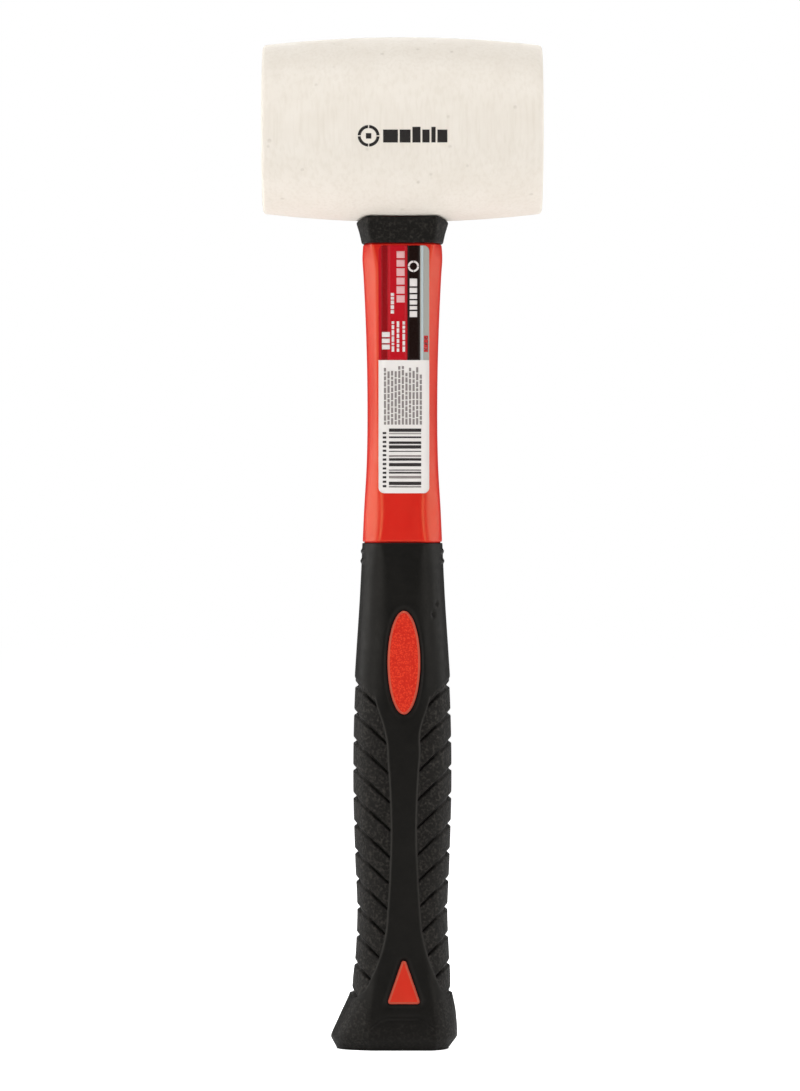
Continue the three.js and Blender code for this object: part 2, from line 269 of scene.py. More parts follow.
world = bpy.data.worlds.new("studio")
bpy.context.scene.world = world
world.use_nodes = True
world.node_tree.nodes.clear()
towards = add_node(world, "ShaderNodeTexCoord").outputs["Generated"]
towards_back = add_node(world, "ShaderNodeSeparateXYZ", _0=towards).outputs["Y"]
sky_turn = (SKY_TURN_START, SKY_TURN_END)
sky_strength = remap(world, towards_back, *sky_turn, SKY_FRONT, SKY_BACK, "SMOOTHSTEP")
sky_lit = add_node(world, "ShaderNodeBackground", Color=(1, 1, 1, 1), Strength=sky_strength)
sky_seen = add_node(world, "ShaderNodeBackground", Color=(1, 1, 1, 1))
seen_directly = add_node(world, "ShaderNodeLightPath").outputs["Is Camera Ray"]
sky = add_node(world, "ShaderNodeMixShader", Fac=seen_directly, _1=sky_lit.outputs[0], _2=sky_seen.outputs[0])
add_node(world, "ShaderNodeOutputWorld", Surface=sky.outputs[0])
bpy.context.scene.view_settings.view_transform = "Standard"
print("surroundings ready")

# %% [markdown]
# A turned or moulded handle is easiest to describe as a modeller does: a few widths
# measured up the handle, joined by a smooth curve. The helpers below read such a
# profile at any height, and blend softly from one state to another.


# %% Profiles
def profile(*points):
    """A smooth curve through (height, value) points, in millimetres."""
    heights, values = np.array(points, float).T
    slopes = np.gradient(values, heights)

    def value_at(height):
        height = np.clip(height, heights[0], heights[-1])
        index = np.clip(np.searchsorted(heights, height, side="right") - 1, 0, len(heights) - 2)
        span = heights[index + 1] - heights[index]
        share = (height - heights[index]) / span
        rest = 1 - share
        start = rest**2 * ((1 + 2 * share) * values[index] + share * span * slopes[index])
        end = share**2 * ((3 - 2 * share) * values[index + 1] - rest * span * slopes[index + 1])
        return start + end

    return value_at


def ease(low, high, value):
    """0 below low, 1 above high, and an S-shaped step between them."""
    share = np.clip((value - low) / (high - low), 0, 1)
    return share * share * (3 - 2 * share)


print("half way up a 0 to 10 step:", ease(0, 10, 5.0))

# %% [markdown]
# Every section of this handle is the same family of shape: a flat face at the front
# and back, and a flank on each side that meets the face in a crease. A flank bows out
# where the handle is soft rubber, and turns into a flat bevel where it is plastic. One
# number, the place, runs along a quarter of it: 0 at the flank, 1 at the crease, and 2
# in the middle of the face. Averaging a few neighbouring places rounds the crease the
# way a mould's edge is rounded.


# %% Handle sections
SHOULDER_PLACE = 0.35
SHOULDER_RISE = 0.3
HALVINGS = 24


def flank_outline(turn, reach, section):
    """x and y on a flank, where turn runs from 0 at the side to 1 at the crease.

    A flank is a mix of a bow and of a flat bevel that starts at a low shoulder.
    """
    depth = section["depth"]
    fullness = section["fullness"]
    bevel = section.get("bevel", 0)
    width = reach - section["flat"]
    climb = np.clip((turn - SHOULDER_PLACE) / (1 - SHOULDER_PLACE), 0, 1)
    bow_x = reach - width * turn**2
    bow_y = depth * turn * (2 * (1 - turn) * fullness + turn)
    bevel_x = reach - width * climb
    bevel_y = depth * (SHOULDER_RISE * np.minimum(turn / SHOULDER_PLACE, 1) + (1 - SHOULDER_RISE) * climb)
    return bow_x + bevel * (bevel_x - bow_x), bow_y + bevel * (bevel_y - bow_y)


def crease_speed(reach, section):
    """How fast x changes with turn where a flank meets the face."""
    bevel = section.get("bevel", 0)
    return (reach - section["flat"]) * (2 * (1 - bevel) + bevel / (1 - SHOULDER_PLACE))


def quarter_outline(place, reach, section, soften=0.0):
    """x and y, in millimetres, at each place along a quarter of a handle section."""
    flat = section["flat"]
    speed = crease_speed(reach, section)
    along = np.where(place > 1, 1 + (place - 1) * flat / speed, place)
    offsets = np.linspace(-1, 1, 9)
    total_x = 0
    total_y = 0
    for offset in offsets:
        step = along + offset * soften / speed
        turn = np.abs(step)
        flank_x, flank_y = flank_outline(np.minimum(turn, 1), reach, section)
        total_x = total_x + np.where(turn > 1, flat - speed * (turn - 1), flank_x)
        total_y = total_y + np.where(turn > 1, section["depth"], np.sign(step) * flank_y)
    x = total_x / len(offsets)
    y = total_y / len(offsets)
    return x, y * (1 - section.get("crown", 0) * (x / reach) ** 2)


def place_at(x, reach, section):
    """The place along a quarter section where it has a given x."""
    low = np.zeros(np.broadcast(x, reach).shape)
    high = np.ones_like(low)
    for _ in range(HALVINGS):
        middle = (low + high) / 2
        beyond = flank_outline(middle, reach, section)[0] > x
        low = np.where(beyond, middle, low)
        high = np.where(beyond, high, middle)
    return np.where(x >= section["flat"], (low + high) / 2, 2 - x / section["flat"])


def mirror_quarters(right, left):
    """Whole rings, anticlockwise from the +X flank, from a right and a left quarter.

    Both are rows x places x channels. The first two channels are x and y.
    """
    signs = np.ones(right.shape[-1])

    def signed(x_sign, y_sign):
        flip = signs.copy()
        flip[0] = x_sign
        flip[1] = y_sign
        return flip

    back_right = right[:, :-1]
    back_left = left[:, :0:-1] * signed(-1, 1)
    front_left = left[:, :-1] * signed(-1, -1)
    front_right = right[:, :0:-1] * signed(1, -1)
    return np.concatenate([back_right, back_left, front_left, front_right], axis=1)


def whole_rings(x, y, z):
    """Whole rings from the points of one quarter."""
    quarter = np.stack([x, y, z], axis=-1)
    return mirror_quarters(quarter, quarter)


def section_at(section, height, growth=0.0):
    """A section's values at some heights, deeper by a growth."""
    shape = {name: curve(height) for name, curve in section.items()}
    shape["depth"] = shape["depth"] + growth
    return shape


def section_rings(heights, places, section, soften=0.0, growth=0.0):
    """Rings of points for a stack of sections, in millimetres."""
    level = np.asarray(heights, float)[:, None]
    shape = section_at(section, level, growth)
    x, y = quarter_outline(places[None, :], shape["reach"] + growth, shape, soften)
    return whole_rings(x, y, np.broadcast_to(level, x.shape))


print("section helpers ready")

# %% [markdown]
# A stack of rings turns into a mesh by joining each ring to the next with quads. Open
# stacks are closed at both ends with a fan. A stack that ends where it began, such as a
# tube with its bore, is joined back to its first ring instead.


# %% From rings to a mesh
def add_piece(name, points, faces):
    """A smooth-shaded object from points in millimetres."""
    mesh = bpy.data.meshes.new(name)
    mesh.from_pydata((np.asarray(points) * MM).tolist(), [], faces)
    mesh.shade_smooth()
    piece = bpy.data.objects.new(name, mesh)
    bpy.context.collection.objects.link(piece)
    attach(piece, "root")
    return piece


def ring_faces(rows, columns, closed):
    """Quads between neighbouring rings, and a fan at each end of an open stack."""
    index = np.arange(rows * columns).reshape(rows, columns)
    lower = index if closed else index[:-1]
    upper = np.roll(index, -1, axis=0) if closed else index[1:]
    corners = [lower, np.roll(lower, -1, axis=1), np.roll(upper, -1, axis=1), upper]
    faces = np.stack(corners, axis=-1).reshape(-1, 4).tolist()
    if not closed:
        first = index[0].tolist()
        last = index[-1].tolist()
        first_middle = rows * columns
        last_middle = first_middle + 1
        faces += [[first_middle, b, a] for a, b in zip(first, first[1:] + first[:1])]
        faces += [[last_middle, a, b] for a, b in zip(last, last[1:] + last[:1])]
    return faces


def piece_from_rings(name, rings, closed=False):
    """A named piece from rows x columns x 3 points."""
    rows, columns = rings.shape[:2]
    points = rings.reshape(-1, 3)
    if not closed:
        middles = [rings[0].mean(axis=0), rings[-1].mean(axis=0)]
        points = np.concatenate([points, middles])
    piece = add_piece(name, points, ring_faces(rows, columns, closed))
    print(f"{name}: {rows} rings of {columns} points")
    return piece


def edge_rows(radius, steps):
    """(inset, distance from the edge) pairs that round an edge, from the side inward."""
    angles = np.linspace(0, math.pi / 2, steps + 1)
    return [(radius * (1 - math.cos(angle)), radius * (1 - math.sin(angle))) for angle in angles]


# %% [markdown]
# The head is one block of white rubber, cured in a steel mould. Its side is a shallow
# arc, fullest in the middle, and both striking faces are almost flat with a small
# rounded edge. A lathe shape does this exactly: an outline turned about the head's own
# axis. The outline is drawn as circle arcs, so every round stretch is truly round.

# %% Head: sizes from the solid model
head_low, head_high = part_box("head")
HEAD_LENGTH = (head_high.x - head_low.x) / MM
HEAD_RADIUS = (head_high.y - head_low.y) / 2 / MM
HEAD_TOP = head_high.z / MM
HEAD_CENTRE = HEAD_TOP - HEAD_RADIUS
FACE_RADIUS = 28.2
HEAD_EDGE = 1.5
FACE_CROWN = 0.35
HEAD_COLUMNS = 216

bulge = HEAD_RADIUS - FACE_RADIUS
ARC_RADIUS = ((HEAD_LENGTH / 2) ** 2 + bulge**2) / (2 * bulge)
print("head, mm:", round(HEAD_LENGTH, 1), "long,", round(2 * HEAD_RADIUS, 1), "thick")


def barrel_radius(x):
    """The head's radius at a distance x from its middle."""
    return HEAD_RADIUS - ARC_RADIUS + np.sqrt(ARC_RADIUS**2 - np.square(x))


# %% Head: outline and mesh
def head_outline():
    """(distance along the axis, radius) pairs from one face's middle to the other's."""
    edge_at = HEAD_LENGTH / 2 - FACE_CROWN - HEAD_EDGE
    slope = math.asin(edge_at / ARC_RADIUS)
    start = math.pi / 2 - slope
    centre_radius = float(barrel_radius(edge_at)) - HEAD_EDGE * math.sin(start)
    side = [(x, float(barrel_radius(x))) for x in np.linspace(0, edge_at, 36)[:-1]]
    angles = np.linspace(start, 0, 9)
    edge = [(edge_at + HEAD_EDGE * math.cos(a), centre_radius + HEAD_EDGE * math.sin(a)) for a in angles]
    face_radii = np.linspace(centre_radius, 0, 14)[1:-1]
    face = [(HEAD_LENGTH / 2 - FACE_CROWN * (r / centre_radius) ** 2, r) for r in face_radii]
    half = side + edge + face
    return [(-x, r) for x, r in half[:0:-1]] + half


def lathe_rings(outline, columns):
    """The outline turned about the head's axis."""
    x, radius = np.array(outline).T
    angle = np.linspace(0, 2 * math.pi, columns, endpoint=False)
    y = radius[:, None] * np.cos(angle)
    z = HEAD_CENTRE + radius[:, None] * np.sin(angle)
    return np.stack([np.broadcast_to(x[:, None], y.shape), y, z], axis=-1)


head = piece_from_rings("mallet_head", lathe_rings(head_outline(), HEAD_COLUMNS))
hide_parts("head")

# %% [markdown]
# White rubber isn't paint white. It is a warm cream, slightly cloudy where the
# compound flowed, with faint upright streaks from the mould and a few dark specks and
# pits. Each of those is its own layer of noise, kept weak, because the eye takes
# strong noise for dirt.

# %% Head: finish
rubber_white, shader = new_finish("rubber_white", (0.84, 0.775, 0.69), 0.62)
clouds = remap(rubber_white, noise(rubber_white, 9, 4), 0.35, 0.65, 0, 1)
cream = blend_colours(rubber_white, clouds, (0.825, 0.762, 0.675), (0.855, 0.795, 0.712))
streaks = noise(rubber_white, 1.1, 4, stretch=(1, 1, 0.07))
streak_share = remap(rubber_white, streaks, 0.45, 0.68, 0, 0.3)
cream = blend_colours(rubber_white, streak_share, cream, (0.72, 0.65, 0.55))
specks = cells(rubber_white, 5.5)
speck_core = remap(rubber_white, specks.outputs["Distance"], 0.06, 0.15, 1, 0)
speck_chosen = add_node(rubber_white, "ShaderNodeSeparateColor", Color=specks.outputs["Color"])
speck_rare = math_node(rubber_white, "GREATER_THAN", speck_chosen.outputs[0], 0.72)
speck_mask = product(rubber_white, speck_core, speck_rare)
speck_share = product(rubber_white, speck_mask, 0.22)
cream = blend_colours(rubber_white, speck_share, cream, (0.34, 0.28, 0.22))
wire(rubber_white, cream, shader, "Base Color")
wire(rubber_white, remap(rubber_white, noise(rubber_white, 6), 0.3, 0.7, 0.54, 0.70), shader, "Roughness")
skin = noise(rubber_white, 0.5, 5)
pitted = math_node(rubber_white, "SUBTRACT", skin, product(rubber_white, speck_mask, 3))
add_bump(rubber_white, shader, pitted, 0.08, 0.6)
head.data.materials.append(rubber_white)
print("head finish ready")

# %% [markdown]
# The red jacket is moulded over the rod in one shot. Its front and back are flat
# panels between bevelled flanks, waisted in the middle of the handle. Below it goes on
# as a slimmer core inside the grip, and above as a tapered tang inside the head, with a
# bore for the rod right through. It is all one closed stack of rings: up the outside,
# and down the bore.

# %% Jacket: sizes
jacket_low, jacket_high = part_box("handle_jacket")
rod_low, rod_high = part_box("handle_core")
JACKET_BOTTOM = jacket_low.z / MM
TANG_TOP = jacket_high.z / MM
GRIP_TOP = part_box("grip")[1].z / MM
COLLAR_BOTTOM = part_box("head_collar")[0].z / MM
GAP = 0.3
BODY_BOTTOM = GRIP_TOP + GAP
BODY_TOP = COLLAR_BOTTOM - GAP
print("jacket shows from", round(BODY_BOTTOM, 1), "to", round(BODY_TOP, 1), "mm")


def constant(value):
    """A profile that doesn't change."""
    return lambda height: np.full_like(np.asarray(height, float), value)


jacket_section = {
    "reach": profile(
        (170, 13.4), (180, 12.95), (196, 12.05), (222, 11.8), (244, 12.35), (260, 13.1), (266, 13.45),
        (270.2, 13.2),
    ),
    "depth": profile((170, 10.1), (196, 8.9), (222, 8.75), (244, 9), (266, 9.5), (270.2, 9.5)),
    "flat": profile(
        (170, 8.6), (173, 7.9), (178, 7.3), (190, 7.6), (215, 8.3), (250, 8.6), (264, 9.0), (270.2, 10.4)
    ),
    "fullness": constant(0.6),
    "bevel": constant(0.85),
}
under_grip_section = {
    "reach": constant(10.8),
    "depth": constant(7.4),
    "flat": constant(6.0),
    "fullness": constant(0.85),
}
tang_section = {
    "reach": profile((270.2, 11.6), (329, 10.2)),
    "depth": profile((270.2, 8.3), (329, 6.9)),
    "flat": constant(6.5),
    "fullness": constant(0.85),
}

# %% Jacket: mesh
EDGE = 0.45
jacket_crease = profile((170, 1.6), (190, 1.4), (215, 0.9), (240, 0.7), (271, 0.7))
NECK_INSET = 0.6
NECK_DEPTH = 1.2
flank_places = np.linspace(0, 0.86, 14)
crease_places = np.linspace(0.86, 1.14, 9)[1:]
face_places = np.linspace(1.14, 2, 10)[1:]
jacket_places = np.concatenate([flank_places, crease_places, face_places])


def bore_rings(heights, places, box_low, box_high, growth):
    """Oval rings with as many points as the outer ones."""
    angle = places * math.pi / 4
    half_width = (box_high.x - box_low.x) / 2 / MM + growth
    half_depth = (box_high.y - box_low.y) / 2 / MM + growth
    x = half_width * np.cos(angle)
    y = half_depth * np.sin(angle)
    level = np.array(heights)[:, None]
    return whole_rings(*np.broadcast_arrays(x, y, level))


def jacket_body_rings():
    """The visible part, with a small rounded edge at both ends."""
    rounding = edge_rows(EDGE, 3)
    rows = [(GRIP_TOP - NECK_DEPTH, -NECK_INSET), (BODY_BOTTOM, -NECK_INSET)]
    for inset, drop in reversed(rounding):
        rows.append((BODY_BOTTOM + drop, -inset))
    heights = np.linspace(BODY_BOTTOM + EDGE, BODY_TOP - EDGE, 150)[1:-1]
    rows += [(height, 0.0) for height in heights]
    for inset, drop in rounding:
        rows.append((BODY_TOP - drop, -inset))
    rows += [(BODY_TOP, -NECK_INSET), (BODY_TOP + NECK_DEPTH, -NECK_INSET)]
    return np.concatenate(
        [
            section_rings([height], jacket_places, jacket_section, jacket_crease(height), growth)
            for height, growth in rows
        ]
    )


under_grip_heights = np.linspace(JACKET_BOTTOM, GRIP_TOP - NECK_DEPTH, 12)
tang_heights = np.linspace(BODY_TOP + NECK_DEPTH, TANG_TOP, 12)
jacket_rings = np.concatenate(
    [
        section_rings(under_grip_heights, jacket_places, under_grip_section),
        jacket_body_rings(),
        section_rings(tang_heights, jacket_places, tang_section),
        bore_rings([TANG_TOP, JACKET_BOTTOM], jacket_places, rod_low, rod_high, GAP),
    ]
)
jacket = piece_from_rings("handle_jacket_shell", jacket_rings, closed=True)
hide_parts("handle_jacket")

# %% [markdown]
# The tang sits in a blind eye in the head, filled up with epoxy. Nobody sees it, but a
# head that can be taken apart should be hollow where the tang goes. A boolean cut is
# the direct way: a copy of the tang, a bond line larger, is taken out of the head.

# %% Eye in the head
BOND = 1.4
EYE_START = BODY_TOP - 4
cutter_rings = section_rings([EYE_START, TANG_TOP + BOND], jacket_places, tang_section, 0, BOND)
cutter = piece_from_rings("eye_cutter", cutter_rings)
cut = head.modifiers.new("eye", "BOOLEAN")
cut.operation = "DIFFERENCE"
cut.solver = "EXACT"
cut.object = cutter
graph = bpy.context.evaluated_depsgraph_get()
hollow_mesh = bpy.data.meshes.new_from_object(head.evaluated_get(graph))
head.modifiers.clear()
head.data = hollow_mesh
bpy.data.objects.remove(cutter)
print("head with its eye:", len(head.data.polygons), "faces")

# %% [markdown]
# The jacket is satin polypropylene: a strong, slightly orange red, a soft shine and the
# faint unevenness that a moulding has. Three weak noises are enough: one for the
# colour, one for the shine and one for the relief.


# %% Finishes of the red plastics
RED_SHEEN_TINT = (1.0, 0.85, 0.35, 1)


def red_plastic(name, colour, roughness, grain_mm, grain_depth):
    """Moulded red plastic with flow marks and a fine relief."""
    finish, shader = new_finish(name, colour, roughness, Specular_Tint=RED_SHEEN_TINT)
    flow = remap(finish, noise(finish, 9, 3, stretch=(1, 1, 0.3)), 0.3, 0.7, 0, 1)
    darker = tuple(0.9 * channel for channel in colour)
    wire(finish, blend_colours(finish, flow, darker, colour), shader, "Base Color")
    rough = remap(finish, noise(finish, 3, 4), 0.3, 0.7, roughness - 0.05, roughness + 0.06)
    wire(finish, rough, shader, "Roughness")
    add_bump(finish, shader, noise(finish, grain_mm, 3), grain_depth, 0.5)
    return finish


jacket_red = red_plastic("jacket_red", (0.69, 0.015, 0.012), 0.34, 1.2, 0.02)
jacket.data.materials.append(jacket_red)
print("jacket finish ready")

# %% [markdown]
# The collar is a short rubber sleeve that hides the joint. Its outside flares up to the
# head, and its top edge is cut to the barrel it presses on, so the rim is higher at the
# front than at the sides. Each ring is therefore not level: it is spread between a flat
# bottom edge and the underside of the head.

# %% Collar: sizes
COLLAR_GAP = 0.35
COLLAR_CREASE = 0.5
COLLAR_FOOT_EDGE = 0.4
COLLAR_HEIGHT_GUESS = 8
COLLAR_ROUNDS = 6
RIM = 0.8
collar_section = {
    "reach": profile((270.5, 13.65), (274, 14.45), (277.6, 15.5), (281, 16.2)),
    "depth": profile((270.5, 10.0), (277.6, 10.6), (281, 10.9)),
    "flat": profile((270.5, 10.6), (277.6, 11.4), (281, 11.6)),
    "fullness": constant(0.66),
}


def head_underside(x, y):
    """Height of the underside of the head above a point."""
    radius = barrel_radius(x)
    return HEAD_CENTRE - np.sqrt(radius**2 - y**2)


# %% Collar: mesh
def up_to_head(x, y, share):
    """Height at a share of the way from the collar's bottom edge up to the head."""
    top = head_underside(x, y) - COLLAR_GAP
    return COLLAR_BOTTOM + share * (top - COLLAR_BOTTOM)


def collar_ring(share, inset, drop):
    """One ring, at a share of the way from the bottom edge up to the head.

    Its width depends on its height and its height on its width, so both are found in rounds.
    """
    z = np.full((1, len(jacket_places)), COLLAR_BOTTOM + share * COLLAR_HEIGHT_GUESS)
    for _ in range(COLLAR_ROUNDS):
        shape = section_at(collar_section, z, -inset)
        x, y = quarter_outline(jacket_places[None, :], shape["reach"] - inset, shape, COLLAR_CREASE)
        z = up_to_head(x, y, share) - drop
    return whole_rings(x, y, z)


def collar_inside(share):
    """One ring of the inner wall, which follows the tang with a small gap."""
    shape = section_at(tang_section, np.full((1, len(jacket_places)), COLLAR_BOTTOM), GAP)
    x, y = quarter_outline(jacket_places[None, :], shape["reach"] + GAP, shape, 0)
    return whole_rings(x, y, up_to_head(x, y, share))


bottom_edge = [collar_ring(0, inset, -drop) for inset, drop in reversed(edge_rows(COLLAR_FOOT_EDGE, 3))]
wall = [collar_ring(share, 0, 0) for share in np.linspace(0.1, 0.88, 16)]
top_edge = [collar_ring(1, inset, drop) for inset, drop in edge_rows(RIM, 5)]
lining = [collar_inside(share) for share in (1, 0.5, 0)]
collar_rings = np.concatenate(bottom_edge + wall + top_edge + lining)
collar = piece_from_rings("neck_collar", collar_rings, closed=True)
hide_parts("head_collar")

# %% [markdown]
# The grip is the richest piece. Twelve grooves run inward and down from each flank and
# stop at a smooth strip, which is slightly raised, and they wrap round each flank to
# the back. Cutting them with booleans would leave ragged edges. Instead the rings
# themselves are bent to follow the grooves, so that each groove lies exactly along a
# row of points, and pressing those rows inward makes a clean channel.

# %% Grip: sizes
GROOVES = 12
GROOVE_PITCH = 9.33
FIRST_GROOVE = 122.5
GROOVE_DEPTH = 1.05
GROOVE_SLOPE = 0.9
GROOVE_FLOOR = 0.12
GROOVE_HALF_AT_FLANK = 1.2
GROOVE_HALF_AT_SEAM = 0.72
PANEL_BOTTOM = 19.1
PANEL_TOP = 124.8
CHAMFER = 4.2
CHAMFER_SLOPE = 0.8
BUTT_EDGE = 0.5
BUTT_EDGE_INSET = 0.6

grip_reach = profile(
    (0, 18.7), (9, 18.35), (13, 17.95), (16, 17.4), (19, 16.75), (25, 16.5), (34, 15.95), (46, 15.5),
    (63, 16.15), (92, 16.85), (118, 16.4), (127, 16.0), (133, 15.65), (150, 14.6), (170, 13.5),
)
grip_section = {
    "depth": profile(
        (0, 13.9), (13, 13.2), (22, 12.5), (45, 12.2), (90, 13.0), (118, 12.4), (128, 12.2), (150, 11.2),
        (170, 10.4),
    ),
    "flat": profile(
        (0, 12.2), (8, 11.6), (20, 9.6), (34, 7.2), (46, 6.2), (66, 4.9), (97, 5.3), (120, 6.8), (140, 7.6),
        (170, 8.4),
    ),
    "fullness": profile((0, 0.72), (20, 0.76), (40, 0.84), (66, 0.88), (116, 0.85), (140, 0.74), (170, 0.66)),
    "crown": profile((0, 0.0), (60, 0.0), (120, 0.03), (135, 0.1), (170, 0.1)),
    "bevel": profile((0, 0.0), (135, 0.0), (155, 0.1), (165, 0.4), (170, 0.7)),
}
crease_softness = profile(
    (0, 0.9), (20, 0.9), (40, 0.8), (110, 1.0), (132, 3.0), (156, 3.2), (166, 2.4), (170, 1.6)
)
heel_flare = profile(
    (0, 6.6), (4.4, 5.6), (8.4, 4.0), (12.5, 2.5), (17.5, 1.15), (21, 0.7), (25, 0.4), (30, 0.1), (34, 0)
)
seam = profile(
    (0, 10.5), (12, 11.8), (17.5, 15.6), (20, 14.5), (23.3, 12.6), (28.9, 10.6), (38.3, 7.8), (47.6, 6.0),
    (57, 5.4), (66, 4.9), (86, 4.3), (107, 5.2), (118.8, 6.5), (123, 8.6), (135, 9.0), (170, 9.0),
)
panel_sink = profile((17, 0.4), (21, 0.36), (26, 0.34), (125, 0.34))
groove_heights = [FIRST_GROOVE - GROOVE_PITCH * index for index in range(GROOVES)]
print("lowest groove at", round(groove_heights[-1], 1), "mm")

# %% Grip: where its rows and columns go
PANEL_COLUMNS = 34
STRIP_COLUMNS = 20
above_groove = np.array([0.2, 0.45, 0.7, 1.0, 1.3, 1.7, 2.4, 3.4])
groove_rows = np.concatenate([-above_groove[::-1], [0], above_groove, [4.4]])
row_heights = np.concatenate(
    [
        [0.5, 1.0, 1.8, 2.6, 3.2, 3.6, 3.9, 4.2, 4.5, 4.8, 5.2, 5.8],
        np.arange(6.2, 12.2, 0.3),
        np.arange(12.4, 16.1, 0.45),
        *[height + groove_rows for height in groove_heights],
        [124.0, 124.4, 124.8, 125.2, 125.6, 126.1],
        np.arange(127, 161.5, 0.62),
        np.arange(161.6, 169.3, 0.28),
    ]
)
row_heights = np.unique(row_heights.round(3))
panel_share = 1 - (1 - np.linspace(0, 1, PANEL_COLUMNS + 1)) ** 1.35
strip_share = np.linspace(0, 1, STRIP_COLUMNS + 1)[1:] ** 1.2
print("grip rows:", len(row_heights), "columns:", 4 * (PANEL_COLUMNS + STRIP_COLUMNS))


def softly_positive(value, softness):
    """Value where it is above 0, and 0 below, with a rounded bend."""
    return 0.5 * (value + np.sqrt(value**2 + softness**2))


def chamfer_inset(z):
    """How far the chamfer at the foot has drawn the outline in."""
    round_off = softly_positive(BUTT_EDGE - z, 0.05)
    foot = BUTT_EDGE_INSET * np.square(np.clip(round_off / BUTT_EDGE, 0, 1))
    return CHAMFER_SLOPE * softly_positive(CHAMFER - z, 0.5) + foot


# %% Grip: the coloured inlays and their recesses
oval_low, oval_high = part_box("grip_oval_inlay_front")
OVAL_HALF_WIDTH = (oval_high.x - oval_low.x) / MM / 2
OVAL_HALF_HEIGHT = (oval_high.z - oval_low.z) / MM / 2
OVAL_CENTRE = (oval_high.z + oval_low.z) / MM / 2
FACE_OFFSET = (oval_high.x + oval_low.x) / MM / 2
TRIANGLE_HALF_WIDTH = 5.7
TRIANGLE_BOTTOM = 15.7
TRIANGLE_TIP = 32.0
TRIANGLE_RADIUS = 0.9
RECESS_DEPTH = 0.9
RECESS_WIDTH = 1.4
TRIANGLE_CORNERS = [
    (-TRIANGLE_HALF_WIDTH, TRIANGLE_BOTTOM),
    (TRIANGLE_HALF_WIDTH, TRIANGLE_BOTTOM),
    (0, TRIANGLE_TIP),
]
print("oval, mm:", round(2 * OVAL_HALF_WIDTH, 1), "x", round(2 * OVAL_HALF_HEIGHT, 1))
print("inlays off the axis by", round(FACE_OFFSET, 2), "mm")


def oval_distance(x, z):
    """About how far outside the oval a point lies."""
    level = (x / OVAL_HALF_WIDTH) ** 2 + ((z - OVAL_CENTRE) / OVAL_HALF_HEIGHT) ** 2 - 1
    steepness = 2 * np.hypot(x / OVAL_HALF_WIDTH**2, (z - OVAL_CENTRE) / OVAL_HALF_HEIGHT**2)
    return level / np.maximum(steepness, 0.05)


def triangle_arcs():
    """Centres of the three corner arcs of the rounded triangle."""
    corners = np.array(TRIANGLE_CORNERS, float)
    centres = []
    for index, corner in enumerate(corners):
        back = corners[index - 1] - corner
        ahead = corners[(index + 1) % 3] - corner
        back /= np.linalg.norm(back)
        ahead /= np.linalg.norm(ahead)
        half_angle = math.acos(back @ ahead) / 2
        inward = (back + ahead) / np.linalg.norm(back + ahead)
        centres.append(corner + inward * TRIANGLE_RADIUS / math.sin(half_angle))
    return np.array(centres)


def triangle_distance(x, z):
    """How far outside the rounded triangle a point lies."""
    centres = triangle_arcs()
    nearest = np.full(np.broadcast(x, z).shape, 1e3)
    farthest_side = -nearest
    for start, end in zip(centres, np.roll(centres, -1, axis=0)):
        run = end - start
        length = math.hypot(*run)
        from_x = x - start[0]
        from_z = z - start[1]
        share = np.clip((from_x * run[0] + from_z * run[1]) / length**2, 0, 1)
        nearest = np.minimum(nearest, np.hypot(from_x - share * run[0], from_z - share * run[1]))
        side = (from_x * run[1] - from_z * run[0]) / length
        farthest_side = np.maximum(farthest_side, side)
    return np.where(farthest_side > 0, nearest, farthest_side) - TRIANGLE_RADIUS


def recess(x, y, z):
    """Depth of the sloping recess around the inlays of the front, and of the back turned round."""
    x = np.where(y < 0, x, -x) - FACE_OFFSET
    nearest = np.minimum(oval_distance(x, z), triangle_distance(x, z))
    return RECESS_DEPTH * (1 - ease(0.1, RECESS_WIDTH, nearest))


# %% Grip: relief of one side
ARCH_TOP = 11.0
ARCH_FALL = 4.0
ARCH_FLAT_HALF = 4.8
ARCH_HALF = 11.5
ARCH_LIFT = 0.35
ARCH_SCORE = 0.4
RIB_HEIGHTS = (163.9, 167.2)
RIB_HALF = 1.1
RIB_LIFT = 0.42
NICKS = ((10.4, 146.0, 0.6), (11.6, 149.5, 0.5))
NICK_DEPTH = 1.0
BUTT_GRAIN = 0.35
# The heel grain also paints the butt's flanks paler, partly as a painted highlight.
HEEL_GRAIN_AND_HIGHLIGHT = 0.75
SEAM_BEAD = 0.16
GROOVE_FADE = 0.6
BEND_STARTS = (7, 17)
BEND_ENDS = (129, 152)
SEAM_SHIFT_ENDS = (110, 118)
CHAMFER_FLAT_SHARE = 0.6


def groove_channels(row, into_panel, flank_share):
    """How deep in a groove each point lies, from 0 to 1."""
    half = GROOVE_HALF_AT_SEAM + (GROOVE_HALF_AT_FLANK - GROOVE_HALF_AT_SEAM) * flank_share
    channel = 0
    for height in groove_heights:
        channel = channel + 1 - ease(GROOVE_FLOOR, half, np.abs(row - height))
    faded = 1 - GROOVE_FADE * ease(0.4, 0.7, flank_share) * (1 - ease(0.86, 0.97, flank_share))
    return np.clip(channel, 0, 1) * ease(0.0, 0.8, into_panel) * faded


def side_ribs(row, row_y):
    """Height of the two small ribs on each side of the grip, near its top."""
    lift = 0
    for height in RIB_HEIGHTS:
        lift = lift + np.square(np.clip(1 - np.square((row - height) / RIB_HALF), 0, 1))
    return RIB_LIFT * lift * (1 - ease(3.4, 5.2, np.abs(row_y)))


